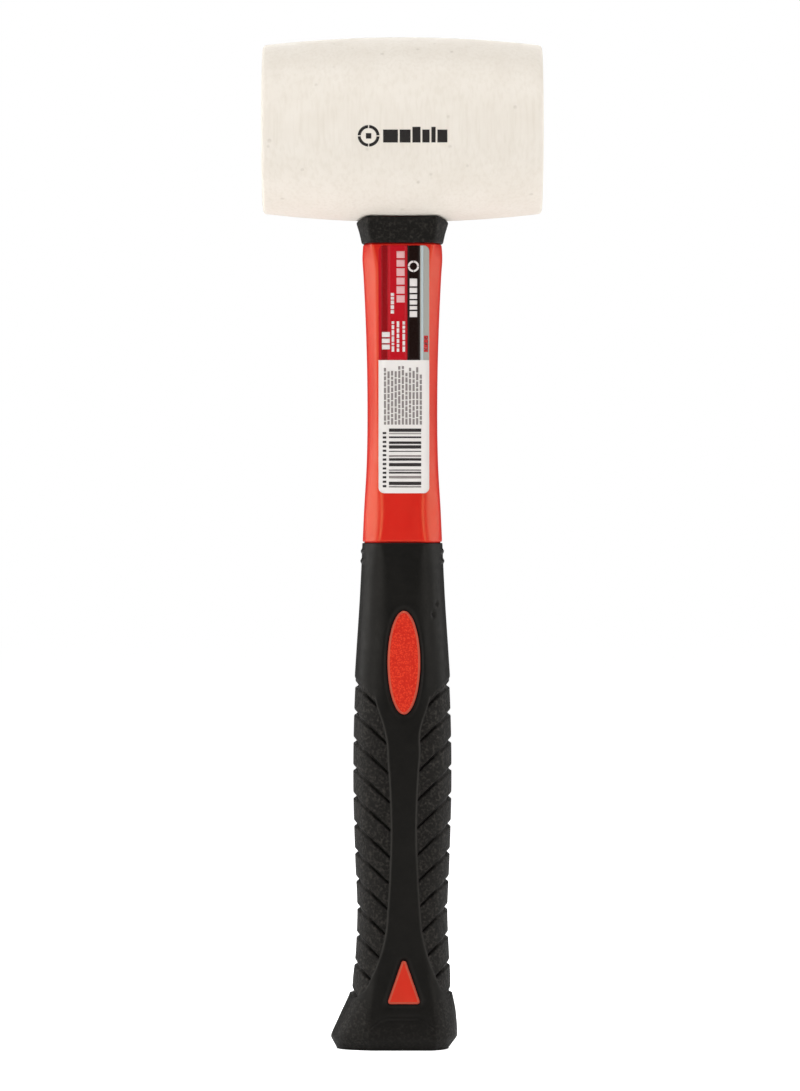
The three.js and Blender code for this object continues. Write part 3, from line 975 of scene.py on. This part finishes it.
def butt_arch(x, z):
    """Height of the low arched facet on the front of the butt."""
    slide = np.clip((np.abs(x) - ARCH_FLAT_HALF) / (ARCH_HALF - ARCH_FLAT_HALF), 0, 1)
    line = ARCH_TOP - ARCH_FALL * slide**1.6
    lifted = ARCH_LIFT * ease(-0.2, 0.4, line - z) - ARCH_SCORE * np.exp(-np.square((line - z) / 0.35))
    return lifted * (1 - ease(ARCH_HALF - 0.6, ARCH_HALF + 0.6, np.abs(x)))


def grip_quarter(reach_at, seam_shift, has_nicks):
    """x, y, z, depth of the relief, share of grain (partly a painted highlight on the butt's flanks) and of
    the seam bead's painted highlight for a quarter of the grip.
    """
    row = row_heights[:, None]
    reach = reach_at(row)
    row_shape = section_at(grip_section, row)
    seam_x = (seam(row) + seam_shift * (1 - ease(*SEAM_SHIFT_ENDS, row))) * reach / grip_reach(row)
    seam_place = place_at(seam_x, reach, row_shape)
    strip = seam_place + (2 - seam_place) * strip_share[None, :]
    place = np.concatenate([seam_place * panel_share[None, :], strip], axis=1)
    row_x, row_y = quarter_outline(place, reach, row_shape)

    bend = ease(*BEND_STARTS, row) * (1 - ease(*BEND_ENDS, row))
    plain_x = row_x * grip_reach(row) / reach
    drop = GROOVE_SLOPE * np.maximum(grip_reach(row) - np.maximum(plain_x, seam(row)), 0) * bend
    z = row - drop
    shape = section_at(grip_section, z)
    reach_here = reach_at(z)
    place_here = place_at(row_x * reach_here / reach, reach_here, shape)
    inset = chamfer_inset(z)
    shape["depth"] = shape["depth"] - inset
    shape["flat"] = shape["flat"] - CHAMFER_FLAT_SHARE * inset
    x, y = quarter_outline(place_here, reach_here - inset, shape, crease_softness(z))

    into_panel = row_x - seam_x
    flank_share = into_panel / np.maximum(reach - seam_x, 0.1)
    panel_ends = ease(PANEL_BOTTOM - 0.25, PANEL_BOTTOM + 0.35, row)
    panel_ends = panel_ends * (1 - ease(PANEL_TOP - 0.5, PANEL_TOP + 0.4, row))
    panel = ease(0, 0.35, into_panel) * panel_ends
    channel = groove_channels(row, into_panel, flank_share) * panel_ends
    sink = panel * panel_sink(row) + GROOVE_DEPTH * channel
    # The bead along the edge of the strip is raised, and this mask also paints it paler in the black rubber's
    # finish, as a painted highlight.
    seam_line = np.exp(-np.square((into_panel + 0.12) / 0.26)) * panel_ends * ease(18, 40, row)
    sink = sink - side_ribs(row, row_y) - butt_arch(x, z) - SEAM_BEAD * seam_line
    if has_nicks:
        for nick_x, nick_z, size in NICKS:
            sink = sink + NICK_DEPTH * np.exp(-np.square(np.hypot(x - nick_x, z - nick_z) / size))
    # On the flanks of the butt the coarse grain is turned up, which makes the rubber paler there: partly real
    # grain, partly a painted highlight.
    butt_grain_and_highlight = HEEL_GRAIN_AND_HIGHLIGHT * (1 - ease(PANEL_BOTTOM - 1, PANEL_BOTTOM, row)) * ease(8, 14, x)
    butt_grain_and_highlight = np.maximum(butt_grain_and_highlight, BUTT_GRAIN * (1 - ease(8, 11, z)))
    grain = np.maximum(panel * (1 - 0.7 * channel), butt_grain_and_highlight)
    return np.stack([x, y, z, sink, grain, seam_line], axis=-1)


# %% Grip: press the relief into the surface
def pressed(rings):
    """Moves each point inward along the surface's own direction by its relief."""
    points = rings[..., :3]
    around = np.roll(points, -1, axis=1) - np.roll(points, 1, axis=1)
    along = np.gradient(points, axis=0)
    outward = np.cross(around, along)
    outward /= np.maximum(np.linalg.norm(outward, axis=-1, keepdims=True), 1e-9)
    return points - outward * rings[..., 3:4]


def heel_side(height):
    """The grip's reach on the side where the butt flares."""
    return grip_reach(height) + heel_flare(height)


plain_quarter = grip_quarter(grip_reach, FACE_OFFSET, True)
heel_quarter = grip_quarter(heel_side, -FACE_OFFSET, False)
relief_rings = mirror_quarters(plain_quarter, heel_quarter)
relief_rings[..., 3] += recess(*relief_rings[..., :3].transpose(2, 0, 1))
grip_wall = pressed(relief_rings)
print("deepest relief, mm:", round(float(relief_rings[..., 3].max()), 2))

# %% [markdown]
# The wall still needs ends. Underneath, the last ring is drawn in to a flat foot. On
# top, a small rounded lip turns inward to the jacket, and from there the stack goes on
# down the inside, so that the grip is a true sleeve closed at the bottom.

# %% Grip: foot, lip and inside
def shrunk(ring, share, height):
    """A copy of a ring pulled towards its middle, laid flat at a height."""
    middle = ring.mean(axis=0)
    copy = middle + (ring - middle) * share
    copy[:, 2] = height
    return copy


def lip_ring(inset, drop):
    """A ring near the top edge, inset from the grip's outline there."""
    top = grip_wall[-1]
    outline_at = np.hypot(top[:, 0], top[:, 1])[:, None]
    ring = top * (1 - inset / outline_at)
    ring[:, 2] = GRIP_TOP - drop
    return ring


LIP = 0.4
NECK_CLEARANCE = 0.1
FOOT_SHARES = (0.25, 0.5, 0.75, 0.9, 0.97)
FOOT_EDGE_SHARE = 0.995
FOOT_EDGE_HEIGHT = 0.12
grip_columns = grip_wall.shape[1]
grip_places = np.linspace(0, 2, grip_columns // 4 + 1)
foot_rings = np.stack([shrunk(grip_wall[0], share, 0) for share in FOOT_SHARES])
foot_edge = shrunk(grip_wall[0], FOOT_EDGE_SHARE, FOOT_EDGE_HEIGHT)[None]
lip_rings = np.stack([lip_ring(inset, drop) for inset, drop in edge_rows(LIP, 4)[1:]])
neck_bottom = GRIP_TOP - NECK_DEPTH - NECK_CLEARANCE
neck_growth = NECK_CLEARANCE - NECK_INSET
neck_crease = jacket_crease(GRIP_TOP)
neck_room = section_rings([GRIP_TOP, neck_bottom], grip_places, jacket_section, neck_crease, neck_growth)
cavity = section_rings([neck_bottom, JACKET_BOTTOM - GAP], grip_places, under_grip_section, 0, GAP)
cavity_floor = np.stack([shrunk(cavity[-1], share, JACKET_BOTTOM - GAP) for share in (0.6, 0.2)])
grip_rings = np.concatenate([foot_rings, foot_edge, grip_wall, lip_rings, neck_room, cavity, cavity_floor])
grip = piece_from_rings("soft_grip", grip_rings)
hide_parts("grip")

for channel, mark_name in ((4, "grain"), (5, "seam_highlight")):
    values = np.zeros(grip_rings.shape[:2])
    first_wall_row = len(foot_rings) + 1
    values[first_wall_row : first_wall_row + len(grip_wall)] = relief_rings[..., channel]
    values = np.append(values.ravel(), [0, 0])
    marked = grip.data.attributes.new(mark_name, "FLOAT", "POINT")
    marked.data.foreach_set("value", values)
    print(mark_name, "on", int((values > 0.5).sum()), "points")

# %% [markdown]
# Both black pieces are soft rubber: nearly black, matt, with a dry bloom that lightens
# it in patches. The smooth strip has only a fine skin. The side panels carry a coarse
# leathery grain, which the mesh marks with an attribute called grain, so one finish can
# serve both and change where the panel begins. On the flanks of the butt that grain is
# turned up so that the rubber there is paler, partly as a painted highlight. A second
# attribute marks the bead along the edge of the strip, which is painted paler as a
# highlight.


# %% Finish of the black rubber
BLACK_SHEEN = 0.205
BLACK_SHEEN_TINT = (1.0, 0.95, 0.88, 1)


def black_rubber(name, skin_grain):
    """Matt black rubber. Its grain is coarse where the mesh asks for it, and skin_grain elsewhere."""
    sheen = {"Specular_IOR_Level": BLACK_SHEEN, "Specular_Tint": BLACK_SHEEN_TINT}
    finish, shader = new_finish(name, (0.004, 0.004, 0.0037), 0.5, **sheen)
    # Where the grain attribute covers the flanks of the butt, its paler colour is partly a painted highlight.
    marked = add_node(finish, "ShaderNodeAttribute", {"attribute_name": "grain"}).outputs["Fac"]
    paler_share = add_node(finish, "ShaderNodeAttribute", {"attribute_name": "seam_highlight"}).outputs["Fac"]
    share = math_node(finish, "MAXIMUM", marked, skin_grain)
    pebbles = cells(finish, 0.7, "SMOOTH_F1").outputs["Distance"]
    lumps = math_node(finish, "ADD", product(finish, pebbles, 0.6), noise(finish, 1.1, 5))
    bloom = remap(finish, noise(finish, 7, 4), 0.35, 0.7, 0, 1)
    skin = blend_colours(finish, bloom, (0.0012, 0.0012, 0.001), (0.0035, 0.0032, 0.0028))
    dust = remap(finish, lumps, 0.72, 1.05, 0, 1)
    dusty = blend_colours(finish, dust, (0.0025, 0.0022, 0.0019), (0.027, 0.024, 0.021))
    body = blend_colours(finish, share, skin, dusty)
    # The bead along the edge of the strip is painted paler here, as a painted highlight.
    seam_highlight_share = product(finish, paler_share, 0.8)
    wire(finish, blend_colours(finish, seam_highlight_share, body, (0.035, 0.033, 0.030)), shader, "Base Color")
    rough = remap(finish, noise(finish, 2.5, 4), 0.3, 0.7, 0.44, 0.54)
    rough = math_node(finish, "ADD", rough, product(finish, share, 0.06))
    wire(finish, rough, shader, "Roughness")
    coarse = product(finish, lumps, share)
    fine = math_node(finish, "ADD", product(finish, noise(finish, 0.45, 3), 0.1), coarse)
    add_bump(finish, shader, fine, 0.3, 0.75)
    return finish


grip.data.materials.append(black_rubber("grip_black", 0.05))
collar.data.materials.append(black_rubber("collar_black", 0.9))
print("black rubber ready")

# %% [markdown]
# Four red pads are let into the grip: an oval and a triangle on each face. Each has a
# gently crowned top and a bevelled rim that catches the light, and sits in the sloping
# recess. The rim is also painted paler and pinker than the pad, as a painted highlight,
# and the oval's pebbled top carries painted highlights on the pebbles and painted shade
# between them. A pad is built from one outline, drawn smaller and smaller towards its
# middle, so the same code makes ovals and triangles.


# %% Inlay outlines
def oval_outline(inset, count=112):
    """Points of the oval, moved inward by an inset, anticlockwise seen from the front."""
    angle = np.linspace(0, 2 * math.pi, count, endpoint=False)
    x = OVAL_HALF_WIDTH * np.cos(angle)
    z = OVAL_HALF_HEIGHT * np.sin(angle)
    slope = np.hypot(x / OVAL_HALF_WIDTH**2, z / OVAL_HALF_HEIGHT**2)
    x = x - inset * x / OVAL_HALF_WIDTH**2 / slope
    z = z - inset * z / OVAL_HALF_HEIGHT**2 / slope
    return np.stack([x, OVAL_CENTRE + z], axis=-1)


def triangle_outline(inset, arc_steps=7, side_steps=18):
    """Points of the rounded triangle, moved inward by an inset, anticlockwise from the front."""
    centres = triangle_arcs()
    radius = max(TRIANGLE_RADIUS - inset, 0.05)
    points = []
    for index, centre in enumerate(centres):
        arriving = centre - centres[index - 1]
        leaving = centres[(index + 1) % 3] - centre
        start = math.atan2(arriving[1], arriving[0]) - math.pi / 2
        turn = (math.atan2(leaving[1], leaving[0]) - math.pi / 2 - start) % (2 * math.pi)
        arc = start + turn * np.linspace(0, 1, arc_steps + 1)
        points += [centre + radius * np.array([math.cos(angle), math.sin(angle)]) for angle in arc]
        side = radius * np.array([math.cos(arc[-1]), math.sin(arc[-1])])
        points += [centre + side + leaving * share for share in np.linspace(0, 1, side_steps + 1)[1:-1]]
    return np.array(points)


# %% Inlay pads
PAD_TOP = 0.0
PAD_CROWN = 0.15
PAD_BEVEL = 0.75
PAD_BEVEL_DROP = 0.45
PAD_FOOT = 2.2
RIM_ROWS = 5


def pad_rings(outline_at):
    """Rings of a pad on the front of the grip, from its hidden foot to its crown."""
    outline = outline_at(0)
    middle = outline.mean(axis=0)
    top_outline = outline_at(PAD_BEVEL)
    levels = [(outline, -PAD_FOOT), (outline, PAD_TOP - PAD_BEVEL_DROP - 0.1)]
    for share in np.linspace(0, 1, RIM_ROWS + 1):
        levels.append((outline_at(PAD_BEVEL * share), PAD_TOP - PAD_BEVEL_DROP * (1 - share) ** 1.5))
    for share in np.linspace(0.96, 0.06, 22):
        levels.append((middle + (top_outline - middle) * share, PAD_TOP + PAD_CROWN * (1 - share**2)))
    rings = []
    for flat_ring, lift in levels:
        x, z = flat_ring.T
        rings.append(np.stack([x + FACE_OFFSET, -(grip_section["depth"](z) + lift), z], axis=-1))
    return np.stack(rings)


def add_pad(name, node, outline_at, finishes, on_back):
    """One pad, on the front or turned round to the back, with finishes for its face and rim."""
    rings = pad_rings(outline_at)
    if on_back:
        rings = rings * (-1, -1, 1)
    pad = piece_from_rings(name, rings)
    for finish in finishes:
        pad.data.materials.append(finish)
    columns = rings.shape[1]
    numbers = np.zeros(len(pad.data.polygons), int)
    numbers[columns : (RIM_ROWS + 2) * columns] = 1
    pad.data.polygons.foreach_set("material_index", numbers)
    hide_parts(node)


# %% Finish of the pads
PEBBLE_SHEEN = 0.3


def pebbled_red(name, dark, bright, pebble_mm):
    """Red plastic with a moulded pebble grain, painted brighter on the tops of the pebbles as a highlight and
    darker between them as shade.
    """
    sheen = {"Specular_IOR_Level": PEBBLE_SHEEN, "Specular_Tint": RED_SHEEN_TINT}
    finish, shader = new_finish(name, bright, 0.45, **sheen)
    pebbles = cells(finish, pebble_mm, "SMOOTH_F1", Smoothness=0.4).outputs["Distance"]
    # Tops of the pebbles get the bright colour and the hollows the dark one: painted highlight and painted
    # shade.
    tops = remap(finish, pebbles, 0.15, 0.6, 1, 0)
    wire(finish, blend_colours(finish, tops, dark, bright), shader, "Base Color")
    wire(finish, remap(finish, noise(finish, 1.5), 0.3, 0.7, 0.4, 0.55), shader, "Roughness")
    add_bump(finish, shader, tops, 0.12, 0.7)
    return finish


pebble_red = pebbled_red("pebble_red", (0.60, 0.016, 0.011), (0.82, 0.046, 0.022), 0.62)
triangle_red = red_plastic("triangle_red", (0.66, 0.020, 0.014), 0.38, 1.0, 0.015)
# The pad rims are paler and pinker than the pads: a painted highlight on the bevel.
rim_highlight_red = red_plastic("rim_highlight_red", (0.54, 0.062, 0.045), 0.42, 0.8, 0.02)
for side in ("front", "back"):
    on_back = side == "back"
    add_pad(f"oval_pad_{side}", f"grip_oval_inlay_{side}", oval_outline, (pebble_red, rim_highlight_red), on_back)
    add_pad(f"butt_pad_{side}", f"grip_butt_inlay_{side}", triangle_outline, (triangle_red, rim_highlight_red), on_back)

# %% [markdown]
# Printed matter is ink on a surface, so it is made as thin patches of mesh that follow
# that surface a few hundredths of a millimetre above it. That keeps every edge crisp at
# any distance. A patch is a grid of points in the flat, and a placing rule wraps it.
# All of it is neutral: rings, blocks and lines where a maker would put a name or text.


# %% Printed patches
def patch_points(grid, place, low, high):
    """Points and faces of a thin closed patch over a rows x columns x 2 grid."""
    rows, columns = grid.shape[:2]
    top = place(grid[..., 0], grid[..., 1], high).reshape(-1, 3)
    base = place(grid[..., 0], grid[..., 1], low).reshape(-1, 3)
    index = np.arange(rows * columns).reshape(rows, columns)
    corners = [index[:-1, :-1], index[:-1, 1:], index[1:, 1:], index[1:, :-1]]
    quads = np.stack(corners, axis=-1).reshape(-1, 4)
    under = quads[:, ::-1] + rows * columns
    border = np.concatenate([index[0, :-1], index[:-1, -1], index[-1, :0:-1], index[:0:-1, 0]])
    after = np.roll(border, -1)
    sides = np.stack([after, border, border + rows * columns, after + rows * columns], axis=-1)
    return np.concatenate([top, base]), np.concatenate([quads, under, sides])


def print_piece(name, patches, place, low, high, finishes):
    """One object from many (grid, finish number) patches."""
    all_points = []
    all_faces = []
    numbers = []
    count = 0
    for grid, number in patches:
        points, faces = patch_points(grid, place, low, high)
        all_points.append(points)
        all_faces.append(faces + count)
        numbers += [number] * len(faces)
        count += len(points)
    piece = add_piece(name, np.concatenate(all_points), np.concatenate(all_faces).tolist())
    for finish in finishes:
        piece.data.materials.append(finish)
    piece.data.polygons.foreach_set("material_index", numbers)
    print(f"{name}: {len(patches)} patches")
    return piece


def block(left, right, bottom, top, step=0.7):
    """A rectangular grid of points, left to right and bottom to top."""
    across = np.linspace(left, right, max(2, int((right - left) / step) + 2))
    up = np.linspace(bottom, top, max(2, int((top - bottom) / step) + 2))
    return np.stack(np.meshgrid(across, up), axis=-1)


def ring_arc(centre, inner, outer, start, end, steps):
    """A grid for part of a ring, angles in degrees."""
    angle = np.radians(np.linspace(end, start, steps))[None, :]
    radius = np.array([inner, outer])[:, None]
    return np.stack([centre[0] + radius * np.cos(angle), centre[1] + radius * np.sin(angle)], axis=-1)


def broken_ring(centre, inner, outer, steps=24):
    """Four arcs of a ring, with small gaps between them."""
    starts = (3, 93, 183, 273)
    return [ring_arc(centre, inner, outer, start, start + 84, steps) for start in starts]


# %% Inks
INK_SHEEN = 0.2


def ink(name, colour, roughness=0.45, sheen=INK_SHEEN):
    """Printing ink with a slightly uneven coverage."""
    finish, shader = new_finish(name, colour, roughness, Specular_IOR_Level=sheen)
    paler_share = remap(finish, noise(finish, 0.6, 3), 0.35, 0.7, 0, 0.35)
    faded = tuple(channel + 0.02 * (0.8 - channel) for channel in colour)
    wire(finish, blend_colours(finish, paler_share, colour, faded), shader, "Base Color")
    return finish


mark_ink = ink("mark_ink", (0.018, 0.015, 0.014), 0.5)

# %% [markdown]
# On the head, a plain mark stands where a maker prints a name: a ring and a row of
# blocks of uneven width. It is wrapped round the barrel by turning heights into angles
# about the head's axis.

# %% Mark on the head
MARK_HEIGHT = 304.8
MARK_LEFT = -14.8
BLOCK_WIDTHS = (4.9, 3.6, 2.7, 2.4, 1.4, 3.3)
BLOCK_GAP = 0.6
BLOCK_TOP = 2.1
BLOCK_BOTTOM = -2.2
RING_RADIUS = 3.6
RING_LINE = 1.0
RING_DOT_HALF = 0.9
RING_GAP = 1.2
TALL_BLOCKS = (2, 4)
TALL_EXTRA = 0.9


def on_barrel(x, height, lift):
    """A point of the head's front, at a height measured along its surface."""
    radius = barrel_radius(x) + lift
    angle = height / HEAD_RADIUS
    return np.stack([x, -radius * np.cos(angle), HEAD_CENTRE + radius * np.sin(angle)], axis=-1)


mark_middle = MARK_HEIGHT - HEAD_CENTRE
ring_centre = (MARK_LEFT + RING_RADIUS, mark_middle)
mark_patches = [(arc, 0) for arc in broken_ring(ring_centre, RING_RADIUS - RING_LINE, RING_RADIUS)]
dot_sides = [ring_centre[0] - RING_DOT_HALF, ring_centre[0] + RING_DOT_HALF]
mark_patches.append((block(*dot_sides, mark_middle - RING_DOT_HALF, mark_middle + RING_DOT_HALF), 0))
left = ring_centre[0] + RING_RADIUS + RING_GAP
for index, width in enumerate(BLOCK_WIDTHS):
    top = BLOCK_TOP + (TALL_EXTRA if index in TALL_BLOCKS else 0)
    mark_patches.append((block(left, left + width, mark_middle + BLOCK_BOTTOM, mark_middle + top), 0))
    left += width + BLOCK_GAP
mark = print_piece("head_mark", mark_patches, on_barrel, -0.03, 0.05, [mark_ink])

# %% [markdown]
# The sticker is one piece of printed film on the jacket's front panel. Its upper half
# is banded in reds, black, grey and a pale blue, and its lower half is white with small
# print and a ladder of bars. The film itself is a patch with rounded corners, and every band and
# line is a thinner patch on top of it.

# %% Label: sizes
label_low, label_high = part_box("product_label")
LABEL_WIDTH = (label_high.x - label_low.x) / MM
LABEL_LEFT = -LABEL_WIDTH / 2
LABEL_RIGHT = LABEL_WIDTH / 2
LABEL_BOTTOM = label_low.z / MM
LABEL_TOP = label_high.z / MM
CORNER = 1.9
SPLIT = 231.2
FILM_LIFT = 0.10
BAND_LIFT = 0.14
INK_LIFT = 0.18
INK_FOOT = FILM_LIFT - 0.02
print("label, mm:", round(LABEL_WIDTH, 1), "x", round(LABEL_TOP - LABEL_BOTTOM, 1))


def on_jacket(x, height, lift):
    """A point of the jacket's front panel, where x starts from the label's middle."""
    return np.stack([x + FACE_OFFSET, -(jacket_section["depth"](height) + lift), height], axis=-1)


def corner_inset(height):
    """How far the rounded corners draw the film's side in at a height."""
    into_corner = np.clip(CORNER - np.minimum(height - LABEL_BOTTOM, LABEL_TOP - height), 0, CORNER)
    return CORNER - np.sqrt(CORNER**2 - into_corner**2)


def film_strip(left, right, bottom, top):
    """A grid over part of the film, kept inside its rounded corners."""
    fine = CORNER * (1 - np.cos(np.linspace(0, math.pi / 2, 7)))
    heights = np.concatenate([LABEL_BOTTOM + fine, LABEL_TOP - fine, np.linspace(bottom, top, 50)])
    heights = np.unique(heights.round(4))
    heights = heights[(heights >= bottom) & (heights <= top)]
    inset = corner_inset(heights)[:, None]
    low_side = np.maximum(left, LABEL_LEFT + inset)
    high_side = np.minimum(right, LABEL_RIGHT - inset)
    across = low_side + (high_side - low_side) * np.linspace(0, 1, 6)[None, :]
    up = np.broadcast_to(heights[:, None], across.shape)
    return np.stack([across, up], axis=-1)


# %% Label: film and bands
film_white = ink("film_white", (0.84, 0.80, 0.77), 0.38)
band_red = ink("band_red", (0.50, 0.006, 0.014), 0.32, 0.1)
band_dark_red = ink("band_dark_red", (0.27, 0.003, 0.006), 0.32, 0.1)
band_black = ink("band_black", (0.010, 0.003, 0.002), 0.30, 0.08)
band_grey = ink("band_grey", (0.38, 0.37, 0.34), 0.38)
band_blue = ink("band_blue", (0.48, 0.56, 0.58), 0.38)

film_grid = film_strip(LABEL_LEFT, LABEL_RIGHT, LABEL_BOTTOM, LABEL_TOP)
film = print_piece("label_film", [(film_grid, 0)], on_jacket, 0.02, FILM_LIFT, [film_white])
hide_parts("product_label")

BAND_EDGES = (LABEL_LEFT, -7.5, -5.5, 1.15, 5.4, 5.8, 6.5, LABEL_RIGHT)
BAND_FINISHES = (0, 1, 0, 2, 3, 4, 3)
band_patches = [
    (film_strip(left, right, SPLIT, LABEL_TOP), number)
    for left, right, number in zip(BAND_EDGES, BAND_EDGES[1:], BAND_FINISHES)
]
bands = print_piece(
    "label_bands",
    band_patches,
    on_jacket,
    INK_FOOT,
    BAND_LIFT,
    [band_red, band_dark_red, band_black, band_grey, band_blue],
)

# %% Label: small print
print_white = ink("print_white", (0.80, 0.74, 0.72), 0.4)
print_pink = ink("print_pink", (0.78, 0.42, 0.42), 0.4)
print_grey = ink("print_grey", (0.27, 0.24, 0.23), 0.45)
print_black = ink("print_black", (0.03, 0.025, 0.025), 0.45)
print_red = ink("print_red", (0.55, 0.03, 0.03), 0.4)
WHITE, PINK, GREY, BLACK, RED = range(5)
draw = np.random.default_rng(7)
fine_print = []


def word_column(left, right, bottom, top, number, shortest=0.7, longest=2.4, space=0.5):
    """A line of print that runs up the label: dashes of uneven length."""
    height = bottom
    while height < top - shortest:
        length = min(draw.uniform(shortest, longest), top - height)
        fine_print.append((block(left, right, height, height + length), number))
        height += length + space


def block_row(left, right, bottom, heights, space, number):
    """Bold blocks one above the other."""
    height = bottom
    for length in heights:
        fine_print.append((block(left, right, height, height + length), number))
        height += length + space


block_row(-2.45, 0.25, 250.5, (2.4, 2.5, 2.3, 2.6, 2.3, 2.3), 0.55, PINK)
word_column(-4.4, -3.3, 246.8, 253.8, WHITE, 0.8, 1.4, 0.3)
for left in (-4.1, -2.4, -0.45):
    word_column(left, left + 0.85, 234.0, 244.2, WHITE, 0.8, 2.0, 0.35)
block_row(-7.35, -4.7, 234.8, (1.6, 1.5, 1.7), 0.5, WHITE)
block_row(1.95, 4.45, 245.6, (2.0, 1.2, 1.4, 1.5, 1.7, 2.6), 0.5, WHITE)
fine_print += [(arc, WHITE) for arc in broken_ring((3.2, 262.6), 1.25, 1.9, 10)]
fine_print.append((block(6.7, 8.1, 233.9, 239.4), RED))
for bottom in (234.6, 236.3, 238.0):
    fine_print.append((block(6.95, 7.85, bottom, bottom + 0.8), WHITE))

# %% [markdown]
# The white half carries lines of small print and a ladder of bars. The bars follow
# a simple repeating rule, so they look right and read as nothing.

# %% Label: lines and bars
TEXT_LINES = 11
TEXT_PITCH = 1.2
TEXT_WIDTH = 0.72
TEXT_LEFT = -6.7
TEXT_BOTTOM = 209.6
TEXT_TOP = 229.6
TEXT_RAGGED = 3.0
for line in range(TEXT_LINES):
    left = TEXT_LEFT + line * TEXT_PITCH
    top = TEXT_TOP - draw.uniform(0, TEXT_RAGGED)
    word_column(left, left + TEXT_WIDTH, TEXT_BOTTOM, top, GREY, 0.9, 2.6, 0.35)

BAR_LEFT = -5.0
BAR_RIGHT = 5.8
BAR_BOTTOM = 188.6
BAR_TOP = 208.0
BAR_THINNEST = 0.3
BAR_STEP = 0.27
SPACE_THINNEST = 0.45
SPACE_STEP = 0.33
bar_height = BAR_BOTTOM
bar_number = 0
while bar_height < BAR_TOP:
    thickness = BAR_THINNEST + BAR_STEP * (bar_number * 3 % 4)
    number = GREY if bar_number % 5 == 2 else BLACK
    fine_print.append((block(BAR_LEFT, BAR_RIGHT, bar_height, bar_height + thickness), number))
    bar_height += thickness + SPACE_THINNEST + SPACE_STEP * (bar_number * 2 % 3)
    bar_number += 1
word_column(-7.1, -5.9, BAR_BOTTOM, BAR_TOP, BLACK, 0.7, 0.75, 0.75)
small_print = print_piece(
    "label_print",
    fine_print,
    on_jacket,
    INK_FOOT,
    INK_LIFT,
    [print_white, print_pink, print_grey, print_black, print_red],
)

# %% [markdown]
# Two pieces stay as the solid model made them, because they are hidden inside: the
# fibreglass rod and the epoxy around the tang. They still get real finishes, since a
# part can be opened up. The rod shows long glass fibres, and the epoxy is amber.

# %% Finishes of the hidden pieces
rod_finish, shader = new_finish("rod_fibreglass", (0.66, 0.55, 0.26), 0.45)
fibres = noise(rod_finish, 0.35, 4, stretch=(1, 1, 0.02))
fibre_share = remap(rod_finish, fibres, 0.35, 0.65, 0, 1)
rod_colour = blend_colours(rod_finish, fibre_share, (0.56, 0.45, 0.20), (0.74, 0.66, 0.38))
wire(rod_finish, rod_colour, shader, "Base Color")
add_bump(rod_finish, shader, fibres, 0.04, 0.5)

epoxy_finish, shader = new_finish("eye_epoxy", (0.48, 0.26, 0.05), 0.25)
swirls = remap(epoxy_finish, noise(epoxy_finish, 5, 4), 0.3, 0.7, 0, 1)
epoxy_colour = blend_colours(epoxy_finish, swirls, (0.40, 0.20, 0.04), (0.56, 0.33, 0.09))
wire(epoxy_finish, epoxy_colour, shader, "Base Color")
add_bump(epoxy_finish, shader, noise(epoxy_finish, 1.5, 3), 0.05, 0.4)

for node_name, finish in (("handle_core", rod_finish), ("eye_adhesive", epoxy_finish)):
    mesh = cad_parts[node_name].data
    mesh.materials.clear()
    mesh.materials.append(finish)
    print(node_name, "finished with", finish.name)
